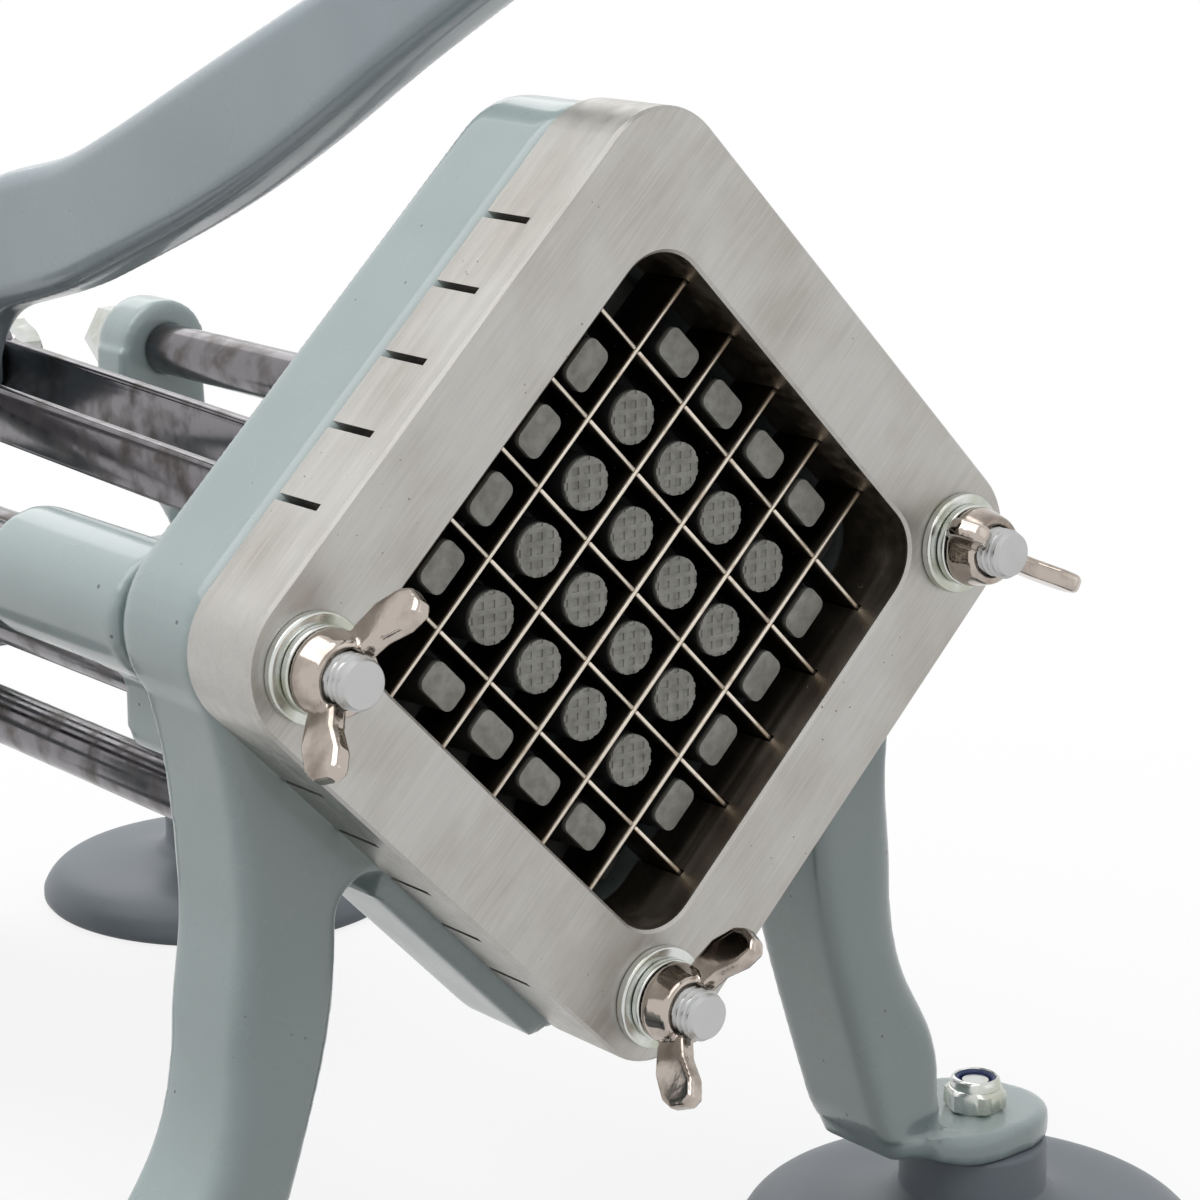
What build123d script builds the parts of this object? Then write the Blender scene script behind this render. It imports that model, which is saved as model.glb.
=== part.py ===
from build123d import *
import os
from math import cos, radians, sin, sqrt

# Lever-operated french fry cutter on four suction feet.
#
# Millimetres, +Z up. The cutter is drawn about the middle of the front face of its
# cutting square: X to the right seen from the front, Y towards the back. At the end
# every piece is lowered onto the counter, so that the finished origin lies under the
# middle of the closed cutter, on the counter.

# ---------------------------------------------------------------- driving dimensions
# Cutting square, which stands on one corner.
frame_side = 112.6
frame_depth = 15.5
frame_corner_radius = 13.0
opening_side = 79.8
opening_corner_radius = 9.0
square_turn = 45.0
edge_round = 1.0

# Blades, laid in slots of the square and crossed by half laps.
blade_count = 5
blade_pitch = 13.2
blade_thickness = 0.8
blade_length = 104.0
blade_front_y = 5.7
blade_slot_width = 1.2
blade_slot_lead = 0.5
lap_clearance = 0.15

# Front casting behind the square.
casting_depth = 20.5
casting_corner_radius = 15.0
casting_opening_gap = 0.4
casting_edge_round = 2.5

# Legs of the front casting.
leg_waist_x = 65.0
leg_waist_z = -46.0
leg_width = 16.4
leg_shoulder_x = 72.6
leg_shoulder_z = -3.0
leg_heel_drop = 20.0
leg_edge_round = 3.0
leg_toe_gap = 2.0

# Foot tabs and suction cups.
front_foot_x = 97.0
rear_foot_x = 100.5
foot_plate_thickness = 5.5
foot_tab_radius = 17.0
foot_tab_root = 6.0
foot_tab_top_z = -115.0
front_foot_y = 24.0
rear_foot_ahead_of_pivot = 13.5
foot_stud_diameter = 6.0
foot_hole_diameter = 6.6
foot_stud_depth = 9.0
cup_neck_diameter = 27.0
cup_neck_height = 9.0
cup_rim_radius = 43.0
cup_rim_height = 2.0
cup_lip_width = 3.5
cup_wall = 4.5
counter_z = -142.0

# Lock nuts of the feet.
foot_nut_flats = 10.0
foot_nut_height = 6.2
foot_nut_hex_height = 4.2
foot_nut_collar_diameter = 9.2
foot_insert_diameter = 7.4
foot_insert_height = 1.6

# Guide rods and the wing nuts on their front ends.
rod_diameter = 11.0
rod_offset = 63.5
rod_stud_diameter = 8.0
rod_stud_hole = 8.8
rod_stud_reach = 12.5
rod_chamfer = 0.8
flat_washer_diameter = 16.4
flat_washer_thickness = 1.6
washer_hole = 8.4
spring_washer_diameter = 13.2
spring_washer_thickness = 2.0
spring_washer_split = 1.6
wing_hub_base_diameter = 13.0
wing_hub_top_diameter = 10.4
wing_hub_height = 5.0
wing_bore = 8.16
wing_nut_gap = 0.1
wing_reach = 15.0
wing_rise = 13.4
wing_thickness = 2.6
left_wing_angle = 55.0
bottom_wing_angle = 60.0
right_wing_angle = -27.0

# Push block with its field of pins.
pin_rows = 6
pin_pitch = 12.7
pin_face_y = 6.6
pin_diameter = 9.4
edge_pin_length = 9.2
edge_pin_width = 6.2
edge_pin_round = 1.8
corner_pin_side = 5.6
block_side = 77.0
block_corner_radius = 7.0
block_plate_front_y = 18.5

# Pusher carriage that slides on the three rods.
carriage_gap = 0.3
carriage_plate_depth = 11.7
carriage_side = 92.0
carriage_corner_radius = 8.0
carriage_lug_x = 65.0
carriage_lug_bottom_z = -20.0
carriage_lug_top_z = 5.0
carriage_lug_round = 4.0
sleeve_diameter = 20.6
sleeve_length = 28.0
bottom_sleeve_length = 3.0
bush_outer_diameter = 14.4
bush_bore_gap = 0.08
bush_lip = 0.6
clevis_width = 20.0
clevis_height = 32.0
clevis_drop = 12.0
clevis_length = 28.0
block_screw_diameter = 5.0
block_screw_head_diameter = 8.5
block_screw_head_height = 3.0
block_screw_offset = 27.0

# Steel tail rods that keep the carriage square, sliding through the rear casting.
tail_rod_diameter = 10.0
tail_rod_x = 17.6
tail_rod_z = -33.3
tail_rod_overhang = 6.0
tail_eye_diameter = 17.5
tail_eye_length = 12.0
tail_eye_gap = 0.1

# Handle and its place on the rear casting.
pivot_behind_link_pin = 70.0
pivot_z = -108.0
pivot_bolt_diameter = 10.0
pivot_bore = 10.16
pivot_lug_radius = 14.5
pivot_lug_thickness = 8.2
link_pin_z = 5.3
handle_width = 20.0
lever_width = 12.0
lever_height = 18.5
lever_bend_reach = 187.6
lever_bend_z = 100.6
lever_rise = 26.5
lever_length = 92.0
handle_round = 3.5
handle_side_gap = 0.6
grip_length = 96.0
grip_neck_diameter = 21.0
grip_diameter = 28.0
grip_end_diameter = 23.0

# Links from the handle to the carriage.
carriage_pin_reach = 12.0
link_length = 165.0
link_drop = 6.4
link_height = 10.4
link_thickness = 3.0
link_eye_radius = 8.5
link_boss_radius = 9.0
link_side_gap = 0.5
link_pin_diameter = 8.0
link_hole = 8.16
slot_forward_gap = 2.4
slot_rear_gap = 1.2
slot_rise = 16.4
slot_height_gap = 0.8

# Rear casting, placed from the handle's pivot.
ear_ahead_of_pivot = 54.0
ear_length = 14.0
ear_radius = 10.5
ear_rear_round = 4.0
rear_leg_top_depth = 10.0
rear_leg_foot_lead = 23.5
rear_leg_foot_depth = 18.0
rear_leg_round = 12.0
rear_leg_inner_x = 52.0
rear_leg_knee_x = 70.0
rear_leg_knee_z = -44.0
rear_leg_width = 12.0
bridge_ahead_of_pivot = 57.0
bridge_core_depth = 12.0
bridge_depth = 24.0
bridge_top_z = -46.0
bridge_bottom_z = -60.0
bridge_round = 3.0
bottom_boss_radius = 11.0

# Hexagon nuts and bolts.
rod_nut_flats = 13.0
rod_nut_height = 6.5
rear_stud_extra = 2.0
rear_washer_thickness = 1.6
link_head_flats = 13.0
link_head_height = 5.3
link_nut_height = 6.5
pivot_head_flats = 17.0
pivot_head_height = 6.4
pivot_nut_height = 8.4
pivot_washer_diameter = 21.0
pivot_washer_thickness = 2.0
bolt_end = 2.0

# ---------------------------------------------------------------- derived places
casting_front_y = frame_depth
casting_rear_y = casting_front_y + casting_depth
leg_inner_x = leg_waist_x - leg_width
foot_tab_bottom_z = foot_tab_top_z - foot_plate_thickness
plate_front_y = casting_rear_y + carriage_gap
plate_rear_y = plate_front_y + carriage_plate_depth
sleeve_rear_faces = {
    "left": plate_rear_y + sleeve_length,
    "right": plate_rear_y + sleeve_length,
    "bottom": plate_rear_y + bottom_sleeve_length,
}
carriage_pin_y = plate_rear_y + carriage_pin_reach
carriage_pin_z = link_pin_z - link_drop
link_pin_y = carriage_pin_y + link_length
pivot_y = link_pin_y + pivot_behind_link_pin
lever_bend_y = link_pin_y - lever_bend_reach
ear_front_y = pivot_y - ear_ahead_of_pivot
ear_rear_y = ear_front_y + ear_length
bridge_front_y = pivot_y - bridge_ahead_of_pivot
bridge_core_rear_y = bridge_front_y + bridge_core_depth
tail_rod_end_y = bridge_core_rear_y + tail_eye_length + tail_rod_overhang
rear_foot_y = pivot_y - rear_foot_ahead_of_pivot
slot_half_width = handle_width / 2 + handle_side_gap
link_inner_x = handle_width / 2 + link_side_gap
link_outer_x = link_inner_x + link_thickness
rod_places = {
    "left": (-rod_offset, 0.0),
    "right": (rod_offset, 0.0),
    "bottom": (0.0, -rod_offset),
}
rod_rear_faces = {"left": ear_front_y, "right": ear_front_y, "bottom": bridge_front_y}
rod_nut_faces = {"left": ear_rear_y, "right": ear_rear_y, "bottom": bridge_core_rear_y}


# ---------------------------------------------------------------- drawing helpers
def front_plane(y):
    """Plane at depth y, drawn as seen from the front."""
    return Plane(origin=(0, y, 0), x_dir=(1, 0, 0), z_dir=(0, -1, 0))


def side_plane(x):
    """Plane at width x, drawn as seen from the right, with Y across and Z up."""
    return Plane(origin=(x, 0, 0), x_dir=(0, 1, 0), z_dir=(1, 0, 0))


def deep(sketch, front_y, rear_y):
    """Solid of a front-view sketch between two depths."""
    return extrude(front_plane(rear_y) * sketch, amount=rear_y - front_y)


def across(sketch, low_x, high_x):
    """Solid of a side-view sketch between two widths."""
    return extrude(side_plane(low_x) * sketch, amount=high_x - low_x)


def upright(sketch, low_z, high_z):
    """Solid of a plan-view sketch between two heights."""
    return extrude(Plane.XY.offset(low_z) * sketch, amount=high_z - low_z)


def rod_along_y(x, z, diameter, front_y, rear_y):
    """Round bar from front to back."""
    return deep(Pos(x, z) * Circle(diameter / 2), front_y, rear_y)


def rod_along_x(y, z, diameter, low_x, high_x):
    """Round bar from left to right."""
    return across(Pos(y, z) * Circle(diameter / 2), low_x, high_x)


def square_on_corner(side, corner_radius):
    """Rounded square turned to stand on one corner."""
    return Rot(0, 0, square_turn) * RectangleRounded(side, side, corner_radius)


def ring_along_y(place, outer, inner, front_y, rear_y):
    """Washer-like ring from front to back."""
    face = Circle(outer / 2) - Circle(inner / 2)
    return deep(Pos(*place) * face, front_y, rear_y)


def edges_facing_y(part, depth):
    """Edges of a part that lie in the plane at one depth."""
    return part.edges().filter_by_position(Axis.Y, depth - 0.01, depth + 0.01)


def hexagon(flats):
    """Hexagon by its width across the flats."""
    return RegularPolygon(radius=flats / 2, side_count=6, major_radius=False)


def mirrored(part):
    """The same piece on the other side of the cutter."""
    return part.mirror(Plane.YZ)


# ---------------------------------------------------------------- cutting square
def blade_offsets():
    """Places of the blades across the square."""
    middle = (blade_count - 1) / 2
    return [(index - middle) * blade_pitch for index in range(blade_count)]


def make_blade_frame():
    """Machined square with its opening, rod holes and blade slots."""
    outline = square_on_corner(frame_side, frame_corner_radius)
    outline -= square_on_corner(opening_side, opening_corner_radius)
    for place in rod_places.values():
        outline -= Pos(*place) * Circle(rod_stud_hole / 2)
    frame = deep(outline, 0, frame_depth)
    rim = edges_facing_y(frame, 0).filter_by(GeomType.LINE)
    frame = chamfer(rim, edge_round / 2)
    slot_front_y = blade_front_y - blade_slot_lead
    for turn in (square_turn, -square_turn):
        for offset in blade_offsets():
            slot = Rot(0, 0, turn) * Pos(0, offset) * Rectangle(frame_side * 2, blade_slot_width)
            frame -= deep(slot, slot_front_y, frame_depth + 1)
    return frame


def make_blade(offset, turn, lap_from_front):
    """One blade: a thin strip with half laps where the others cross it."""
    strip = Box(blade_length, frame_depth - blade_front_y, blade_thickness)
    blade = Pos(0, (blade_front_y + frame_depth) / 2, offset) * strip
    middle_y = (blade_front_y + frame_depth) / 2
    lap_width = blade_thickness + 2 * lap_clearance
    lap_height = blade_thickness * 3
    if lap_from_front:
        low_y = blade_front_y - 1
        high_y = middle_y + lap_clearance
    else:
        low_y = middle_y - lap_clearance
        high_y = frame_depth + 1
    for crossing in blade_offsets():
        cut = Box(lap_width, high_y - low_y, lap_height)
        blade -= Pos(crossing, (low_y + high_y) / 2, offset) * cut
    return blade.rotate(Axis.Y, -turn)


# ---------------------------------------------------------------- castings
def leg_face():
    """Front view of the right leg: narrow at the waist, swept out to its foot."""
    toe_x = front_foot_x - foot_nut_flats / 2 - leg_toe_gap
    outer = Spline(
        (leg_shoulder_x, leg_shoulder_z),
        (leg_waist_x, leg_waist_z),
        (leg_waist_x + 6.5, leg_waist_z - 39),
        (leg_waist_x + 18, leg_waist_z - 53),
        (toe_x, foot_tab_top_z),
        tangents=[(-0.45, -1), (1, -1)],
    )
    inner = Spline(
        (leg_inner_x + 21, foot_tab_bottom_z),
        (leg_inner_x + 6, leg_waist_z - 32),
        (leg_inner_x, leg_waist_z),
        tangents=[(-0.35, 1), (0, 1)],
    )
    toe = Polyline(outer @ 1, (toe_x, foot_tab_bottom_z), inner @ 0)
    heel = Polyline(inner @ 1, (leg_inner_x, leg_shoulder_z - leg_heel_drop), outer @ 0)
    return make_face([outer, toe, inner, heel])


def foot_tab(foot_x, foot_y, leg_front_y, leg_rear_y):
    """Round-ended plate that carries one suction cup."""
    end = Pos(foot_x, foot_y) * Circle(foot_tab_radius)
    root_x = foot_x - foot_tab_radius + foot_tab_root / 2
    root_depth = leg_rear_y - leg_front_y
    root = Pos(root_x, (leg_front_y + leg_rear_y) / 2) * Rectangle(foot_tab_root, root_depth)
    plan = make_hull(end.edges() + root.edges())
    tab = upright(plan, foot_tab_bottom_z, foot_tab_top_z)
    tab = fillet(tab.edges().group_by(Axis.Z)[-1], foot_plate_thickness * 0.35)
    return tab


def foot_holes(part, foot_x, foot_y):
    """Drill both feet of a casting."""
    for side in (-1, 1):
        hole = Pos(side * foot_x, foot_y) * Circle(foot_hole_diameter / 2)
        part -= upright(hole, foot_tab_bottom_z - 1, foot_tab_top_z + 1)
    return part


def make_front_frame():
    """Front casting: square ring with two legs and their foot tabs."""
    ring_face = square_on_corner(frame_side, casting_corner_radius)
    ring = deep(ring_face, casting_front_y, casting_rear_y)
    leg = deep(leg_face(), casting_front_y, casting_rear_y)
    body = ring + leg + mirrored(leg)
    corner = body.edges().filter_by(Axis.Y).filter_by(
        lambda edge: abs(abs(edge.center().X) - leg_inner_x) < 0.5 and edge.center().Z < -20
    )
    body = fillet(corner, leg_edge_round * 2)
    rim = edges_facing_y(body, casting_front_y) + edges_facing_y(body, casting_rear_y)
    body = fillet(rim, casting_edge_round)
    tab = foot_tab(front_foot_x, front_foot_y, casting_front_y, casting_rear_y)
    body += tab + mirrored(tab)
    passage = square_on_corner(opening_side + 2 * casting_opening_gap, opening_corner_radius)
    body -= deep(passage, casting_front_y - 1, casting_rear_y + 1)
    for place in rod_places.values():
        hole = Pos(*place) * Circle(rod_stud_hole / 2)
        body -= deep(hole, casting_front_y - 1, casting_rear_y + 1)
    return foot_holes(body, front_foot_x, front_foot_y)


def rear_leg_face():
    """Front view of the right rear leg: a web under the ear, swept out to the foot."""
    toe_x = rear_foot_x - foot_nut_flats / 2 - leg_toe_gap
    shin_x = (rear_leg_knee_x + toe_x - rear_leg_width) / 2
    shin_z = (rear_leg_knee_z + foot_tab_top_z) / 2
    web_x = (rear_leg_inner_x + rear_leg_knee_x) / 2
    outer = Spline(
        (rod_offset + ear_radius - 1, 0),
        (rod_offset + ear_radius + 1, rear_leg_knee_z / 2),
        (rear_leg_knee_x + rear_leg_width, rear_leg_knee_z),
        (shin_x + rear_leg_width, shin_z),
        (toe_x, foot_tab_top_z),
        tangents=[(0, -1), (0.5, -1)],
    )
    inner = Spline(
        (toe_x - rear_leg_width, foot_tab_bottom_z),
        (shin_x, shin_z),
        (rear_leg_knee_x, rear_leg_knee_z),
        (web_x, rear_leg_knee_z * 0.66),
        (rear_leg_inner_x, rear_leg_knee_z / 3),
        (rear_leg_inner_x, 0),
        tangents=[(-0.2, 1), (0, 1)],
    )
    toe = Polyline(outer @ 1, (toe_x, foot_tab_bottom_z), inner @ 0)
    return make_face([outer, toe, inner, Line(inner @ 1, outer @ 0)])


def rear_leg():
    """Rear leg: its front view met by a side view that leans back to the foot."""
    front_view = deep(rear_leg_face(), bridge_front_y, rear_foot_y + foot_tab_radius)
    top_rear_y = ear_front_y + rear_leg_top_depth
    foot_front_y = rear_foot_y - rear_leg_foot_lead
    foot_rear_y = foot_front_y + rear_leg_foot_depth
    outline = Polyline(
        (ear_front_y, 0),
        (ear_front_y, bridge_bottom_z),
        (foot_front_y, foot_tab_top_z),
        (foot_front_y, foot_tab_bottom_z),
        (foot_rear_y, foot_tab_bottom_z),
        (foot_rear_y, foot_tab_top_z),
        (top_rear_y, rear_leg_knee_z),
        (top_rear_y, 0),
        close=True,
    )
    side_face = make_face(outline)
    bends = side_face.vertices().filter_by(lambda corner: foot_tab_top_z < corner.Y < rear_leg_knee_z / 2)
    side_face = fillet(bends, rear_leg_round)
    side_view = across(side_face, 0, rear_foot_x)
    return front_view & side_view


def pivot_lug():
    """Right cheek that carries the end of the handle's pivot bolt."""
    lug = Pos(pivot_y, pivot_z) * Circle(pivot_lug_radius)
    root_depth = bridge_depth - bridge_core_depth
    root_height = bridge_top_z - bridge_bottom_z
    root_y = bridge_core_rear_y + root_depth / 2
    root_z = (bridge_top_z + bridge_bottom_z) / 2
    root = Pos(root_y, root_z) * Rectangle(root_depth, root_height)
    face = make_hull(lug.edges() + root.edges())
    face -= Pos(pivot_y, pivot_z) * Circle(pivot_bore / 2)
    return across(face, slot_half_width, slot_half_width + pivot_lug_thickness)


def tail_eye():
    """Right eye on the bridge's arm, flat on its inner side, for one tail rod."""
    front_y = bridge_core_rear_y
    rear_y = front_y + tail_eye_length
    eye = Pos(tail_rod_x, tail_rod_z) * Circle(tail_eye_diameter / 2)
    post_height = tail_rod_z - bridge_top_z + 2
    post = Pos(tail_rod_x, tail_rod_z - post_height / 2) * Rectangle(tail_eye_diameter, post_height)
    arm_slot = Pos(0, tail_rod_z) * Rectangle(2 * slot_half_width, 3 * tail_eye_diameter)
    return deep(eye + post - arm_slot, front_y, rear_y)


def make_rear_frame():
    """Rear casting: two ears, two legs and the bridge with the handle's lugs."""
    leg = rear_leg()
    ear = rod_along_y(rod_offset, 0, 2 * ear_radius, ear_front_y, ear_rear_y)
    ear = fillet(edges_facing_y(ear, ear_rear_y), ear_rear_round)
    ear = fillet(edges_facing_y(ear, ear_front_y), casting_edge_round / 2)
    bridge_reach = rear_leg_knee_x + rear_leg_width / 2
    bridge_height = bridge_top_z - bridge_bottom_z
    bridge = Pos(0, bridge_front_y + bridge_depth / 2, (bridge_top_z + bridge_bottom_z) / 2) * Box(
        2 * bridge_reach, bridge_depth, bridge_height
    )
    bridge = fillet(bridge.edges().filter_by(Axis.X), bridge_round)
    leg_front_y = rear_foot_y - rear_leg_foot_lead
    tab = foot_tab(rear_foot_x, rear_foot_y, leg_front_y, leg_front_y + rear_leg_foot_depth)
    boss = rod_along_y(0, -rod_offset, 2 * bottom_boss_radius, bridge_front_y, bridge_core_rear_y)
    slot_depth = bridge_depth + 1
    slot = Pos(0, bridge_core_rear_y + slot_depth / 2, (bridge_top_z + bridge_bottom_z) / 2) * Box(
        2 * slot_half_width, slot_depth, bridge_height + 2
    )
    half = leg + ear + tab
    body = bridge - slot + boss + half + mirrored(half)
    body += pivot_lug() + mirrored(pivot_lug())
    body += tail_eye() + mirrored(tail_eye())
    for side in (-1, 1):
        bore = tail_rod_diameter + 2 * tail_eye_gap
        body -= rod_along_y(side * tail_rod_x, tail_rod_z, bore, bridge_front_y - 5, tail_rod_end_y)
    for name, place in rod_places.items():
        body -= rod_along_y(*place, rod_stud_hole, bridge_front_y - 5, ear_rear_y + 5)
    return foot_holes(body, rear_foot_x, rear_foot_y)


# ---------------------------------------------------------------- guide rods and their fastenings
def make_guide_rod(name):
    """Ground rod with a smaller threaded length at each end."""
    x, z = rod_places[name]
    rear_face = rod_rear_faces[name]
    stud_rear = rod_nut_faces[name] + rear_washer_thickness + rod_nut_height + rear_stud_extra
    body = rod_along_y(x, z, rod_diameter, casting_rear_y, rear_face)
    stud = rod_along_y(x, z, rod_stud_diameter, -rod_stud_reach, stud_rear)
    stud = chamfer(stud.edges(), rod_chamfer)
    return body + stud


def make_spring_washer(place):
    """Split ring under the wing nut."""
    rear_y = -flat_washer_thickness
    front_y = rear_y - spring_washer_thickness
    ring = ring_along_y(place, spring_washer_diameter, washer_hole, front_y, rear_y)
    split = Pos(place[0], (front_y + rear_y) / 2, place[1]) * Rot(0, 40, 0) * Pos(
        0, 0, spring_washer_diameter / 2
    )
    return ring - split * Rot(0, 0, 35) * Box(
        spring_washer_split, spring_washer_thickness * 3, spring_washer_diameter / 2
    )


def make_wing_nut(place, angle):
    """Wing nut: conical hub with two ears that lean forward."""
    base_y = -flat_washer_thickness - spring_washer_thickness - wing_nut_gap
    hub = Cone(wing_hub_base_diameter / 2, wing_hub_top_diameter / 2, wing_hub_height)
    hub = Pos(0, base_y - wing_hub_height / 2, 0) * Rot(90, 0, 0) * hub
    root = wing_hub_top_diameter / 2 - 1.2
    ear_line = Spline(
        (root, 1.2),
        (wing_reach * 0.62, 3.0),
        (wing_reach, wing_rise * 0.66),
        (wing_reach - 2.2, wing_rise),
        (wing_reach * 0.6, wing_rise * 0.78),
        (root, wing_hub_height - 0.6),
    )
    ear_face = make_face([ear_line, Line(ear_line @ 1, ear_line @ 0)])
    ear_plane = Plane(origin=(0, base_y, 0), x_dir=(1, 0, 0), z_dir=(0, 0, -1))
    ear = extrude(ear_plane * ear_face, amount=wing_thickness / 2, both=True)
    nut = hub + ear + ear.mirror(Plane.YZ)
    nut -= rod_along_y(0, 0, wing_bore, base_y - wing_hub_height - 1, base_y + 1)
    return Pos(place[0], 0, place[1]) * nut.rotate(Axis.Y, -angle)


def make_rear_nut(name):
    """Hexagon nut behind the rear casting."""
    front_y = rod_nut_faces[name] + rear_washer_thickness
    face = hexagon(rod_nut_flats) - Circle(rod_stud_diameter / 2 + 0.02)
    return deep(Pos(*rod_places[name]) * face, front_y, front_y + rod_nut_height)


def make_rear_washer(name):
    """Washer between the rear casting and its nut."""
    front_y = rod_nut_faces[name]
    place = rod_places[name]
    return ring_along_y(place, flat_washer_diameter, washer_hole, front_y, front_y + rear_washer_thickness)


# ---------------------------------------------------------------- push block and carriage
def make_push_block():
    """Bare block: a plate with a square field of pins for the blade cells."""
    plate_face = square_on_corner(block_side, block_corner_radius)
    block = deep(plate_face, block_plate_front_y, plate_front_y)
    middle = (pin_rows - 1) / 2
    last = pin_rows - 1
    for row in range(pin_rows):
        for column in range(pin_rows):
            at_side = column in (0, last)
            at_end = row in (0, last)
            if at_side and at_end:
                face = Rectangle(corner_pin_side, corner_pin_side)
            elif at_side:
                face = RectangleRounded(edge_pin_width, edge_pin_length, edge_pin_round)
            elif at_end:
                face = RectangleRounded(edge_pin_length, edge_pin_width, edge_pin_round)
            else:
                face = Circle(pin_diameter / 2)
            place = Pos((column - middle) * pin_pitch, (row - middle) * pin_pitch)
            block += deep(Rot(0, 0, square_turn) * place * face, pin_face_y, block_plate_front_y)
    return block


def make_carriage():
    """Painted carriage: plate, side lugs, three sleeves and the clevis for the links."""
    plate_face = square_on_corner(carriage_side, carriage_corner_radius)
    lug_height = carriage_lug_top_z - carriage_lug_bottom_z
    lug_z = (carriage_lug_top_z + carriage_lug_bottom_z) / 2
    plate_face += Pos(0, lug_z) * RectangleRounded(2 * carriage_lug_x, lug_height, carriage_lug_round)
    body = deep(plate_face, plate_front_y, plate_rear_y)
    for name, place in rod_places.items():
        body += rod_along_y(*place, sleeve_diameter, plate_front_y, sleeve_rear_faces[name])
    for rear_face in set(sleeve_rear_faces.values()):
        body = fillet(edges_facing_y(body, rear_face), edge_round)
    clevis_rear_y = carriage_pin_y + clevis_length / 2
    clevis_depth = clevis_rear_y - plate_rear_y
    clevis_z = carriage_pin_z - clevis_drop + clevis_height / 2
    clevis = Pos(0, plate_rear_y + clevis_depth / 2, clevis_z + 2) * Box(
        clevis_width, clevis_depth, clevis_height + 8
    )
    clevis = fillet(clevis.edges().filter_by(Axis.X).group_by(Axis.Y)[-1], edge_round * 4)
    body += clevis
    body -= pin_window()
    for name, place in rod_places.items():
        body -= rod_along_y(*place, bush_outer_diameter, plate_front_y - 1, sleeve_rear_faces[name] + 1)
    for x in (-tail_rod_x, tail_rod_x):
        body -= rod_along_y(x, tail_rod_z, tail_rod_diameter, plate_front_y + 3, plate_rear_y + 1)
    for x, z in screw_places():
        body -= rod_along_y(x, z, block_screw_diameter, plate_front_y - 1, plate_rear_y + 1)
    return body


def pin_window():
    """Upright window in which the links' front pin rises and falls."""
    half = link_pin_diameter / 2
    low_y = carriage_pin_y - half - slot_forward_gap
    high_y = carriage_pin_y + half + slot_rear_gap
    low_z = carriage_pin_z - half - slot_height_gap
    high_z = carriage_pin_z + half + slot_rise + slot_height_gap
    face = Pos((low_y + high_y) / 2, (low_z + high_z) / 2) * RectangleRounded(
        high_y - low_y, high_z - low_z, (high_y - low_y) / 2 - 0.1
    )
    return across(face, -clevis_width, clevis_width)


def screw_places():
    """Four screws that hold the push block on the carriage."""
    return [
        (block_screw_offset, 0.0),
        (-block_screw_offset, 0.0),
        (0.0, block_screw_offset + 4),
        (0.0, -block_screw_offset - 4),
    ]


def make_block_screws():
    """Cap screws, their heads on the carriage and their tips in the block."""
    screws = []
    for x, z in screw_places():
        shank = rod_along_y(x, z, block_screw_diameter - 0.1, plate_front_y, plate_rear_y)
        head_rear_y = plate_rear_y + block_screw_head_height
        head = rod_along_y(x, z, block_screw_head_diameter, plate_rear_y, head_rear_y)
        screws.append(shank + head)
    return Compound(screws)


def make_bush(name):
    """Plain bearing between a sleeve of the carriage and its rod."""
    bore = rod_diameter + 2 * bush_bore_gap
    rear_y = sleeve_rear_faces[name] + bush_lip
    return ring_along_y(rod_places[name], bush_outer_diameter, bore, plate_front_y, rear_y)


def make_tail_rod(x):
    """Tail rod, pressed into the carriage plate."""
    rod = rod_along_y(x, tail_rod_z, tail_rod_diameter, plate_front_y + 3, tail_rod_end_y)
    return chamfer(edges_facing_y(rod, tail_rod_end_y), rod_chamfer)


# ---------------------------------------------------------------- handle and links
def lever_point(along, above):
    """Point on the straight lever, measured from the bend along it and square to it."""
    along_y = -cos(radians(lever_rise))
    along_z = sin(radians(lever_rise))
    return (
        lever_bend_y + along * along_y + above * along_z,
        lever_bend_z + along * along_z - above * along_y,
    )


def shank_point(share, above):
    """Point beside the line from the link pin to the bend, a share of the way along it."""
    way = Vector(lever_bend_y - link_pin_y, lever_bend_z - link_pin_z)
    square = Vector(way.Y, -way.X).normalized()
    place = Vector(link_pin_y, link_pin_z) + way * share + square * above
    return (place.X, place.Y)


def handle_face():
    """Side view of the handle: pivot boss, link boss, bend and straight lever."""
    lever_way = (cos(radians(lever_rise)), -sin(radians(lever_rise)))
    half = lever_height / 2
    top = Spline(
        lever_point(0, half),
        shank_point(0.59, 14.2),
        shank_point(0.33, 18.8),
        (link_pin_y - 20.6, link_pin_z + 36),
        (link_pin_y + 15.5, link_pin_z + 3),
        (pivot_y - 8, pivot_z + 58),
        (pivot_y + pivot_lug_radius - 0.5, pivot_z + 4),
        tangents=[lever_way, (0.15, -1)],
    )
    bottom = Spline(
        (pivot_y - pivot_lug_radius + 0.5, pivot_z - 2),
        (pivot_y - 36, pivot_z + 58),
        (link_pin_y - 15.5, link_pin_z - 12),
        (link_pin_y - 18, link_pin_z + 3),
        (link_pin_y - 24.5, link_pin_z + 11.4),
        shank_point(0.20, -1.9),
        shank_point(0.40, -7.2),
        shank_point(0.59, -10.3),
        shank_point(0.71, -10.4),
        lever_point(0, -half),
        tangents=[(-0.3, 1), (-lever_way[0], -lever_way[1])],
    )
    tip_top = lever_point(lever_length, half)
    tip_bottom = lever_point(lever_length, -half)
    lever = Polyline(bottom @ 1, tip_bottom, tip_top, top @ 0)
    return make_face([top, Line(top @ 1, bottom @ 0), bottom, lever])


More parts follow.
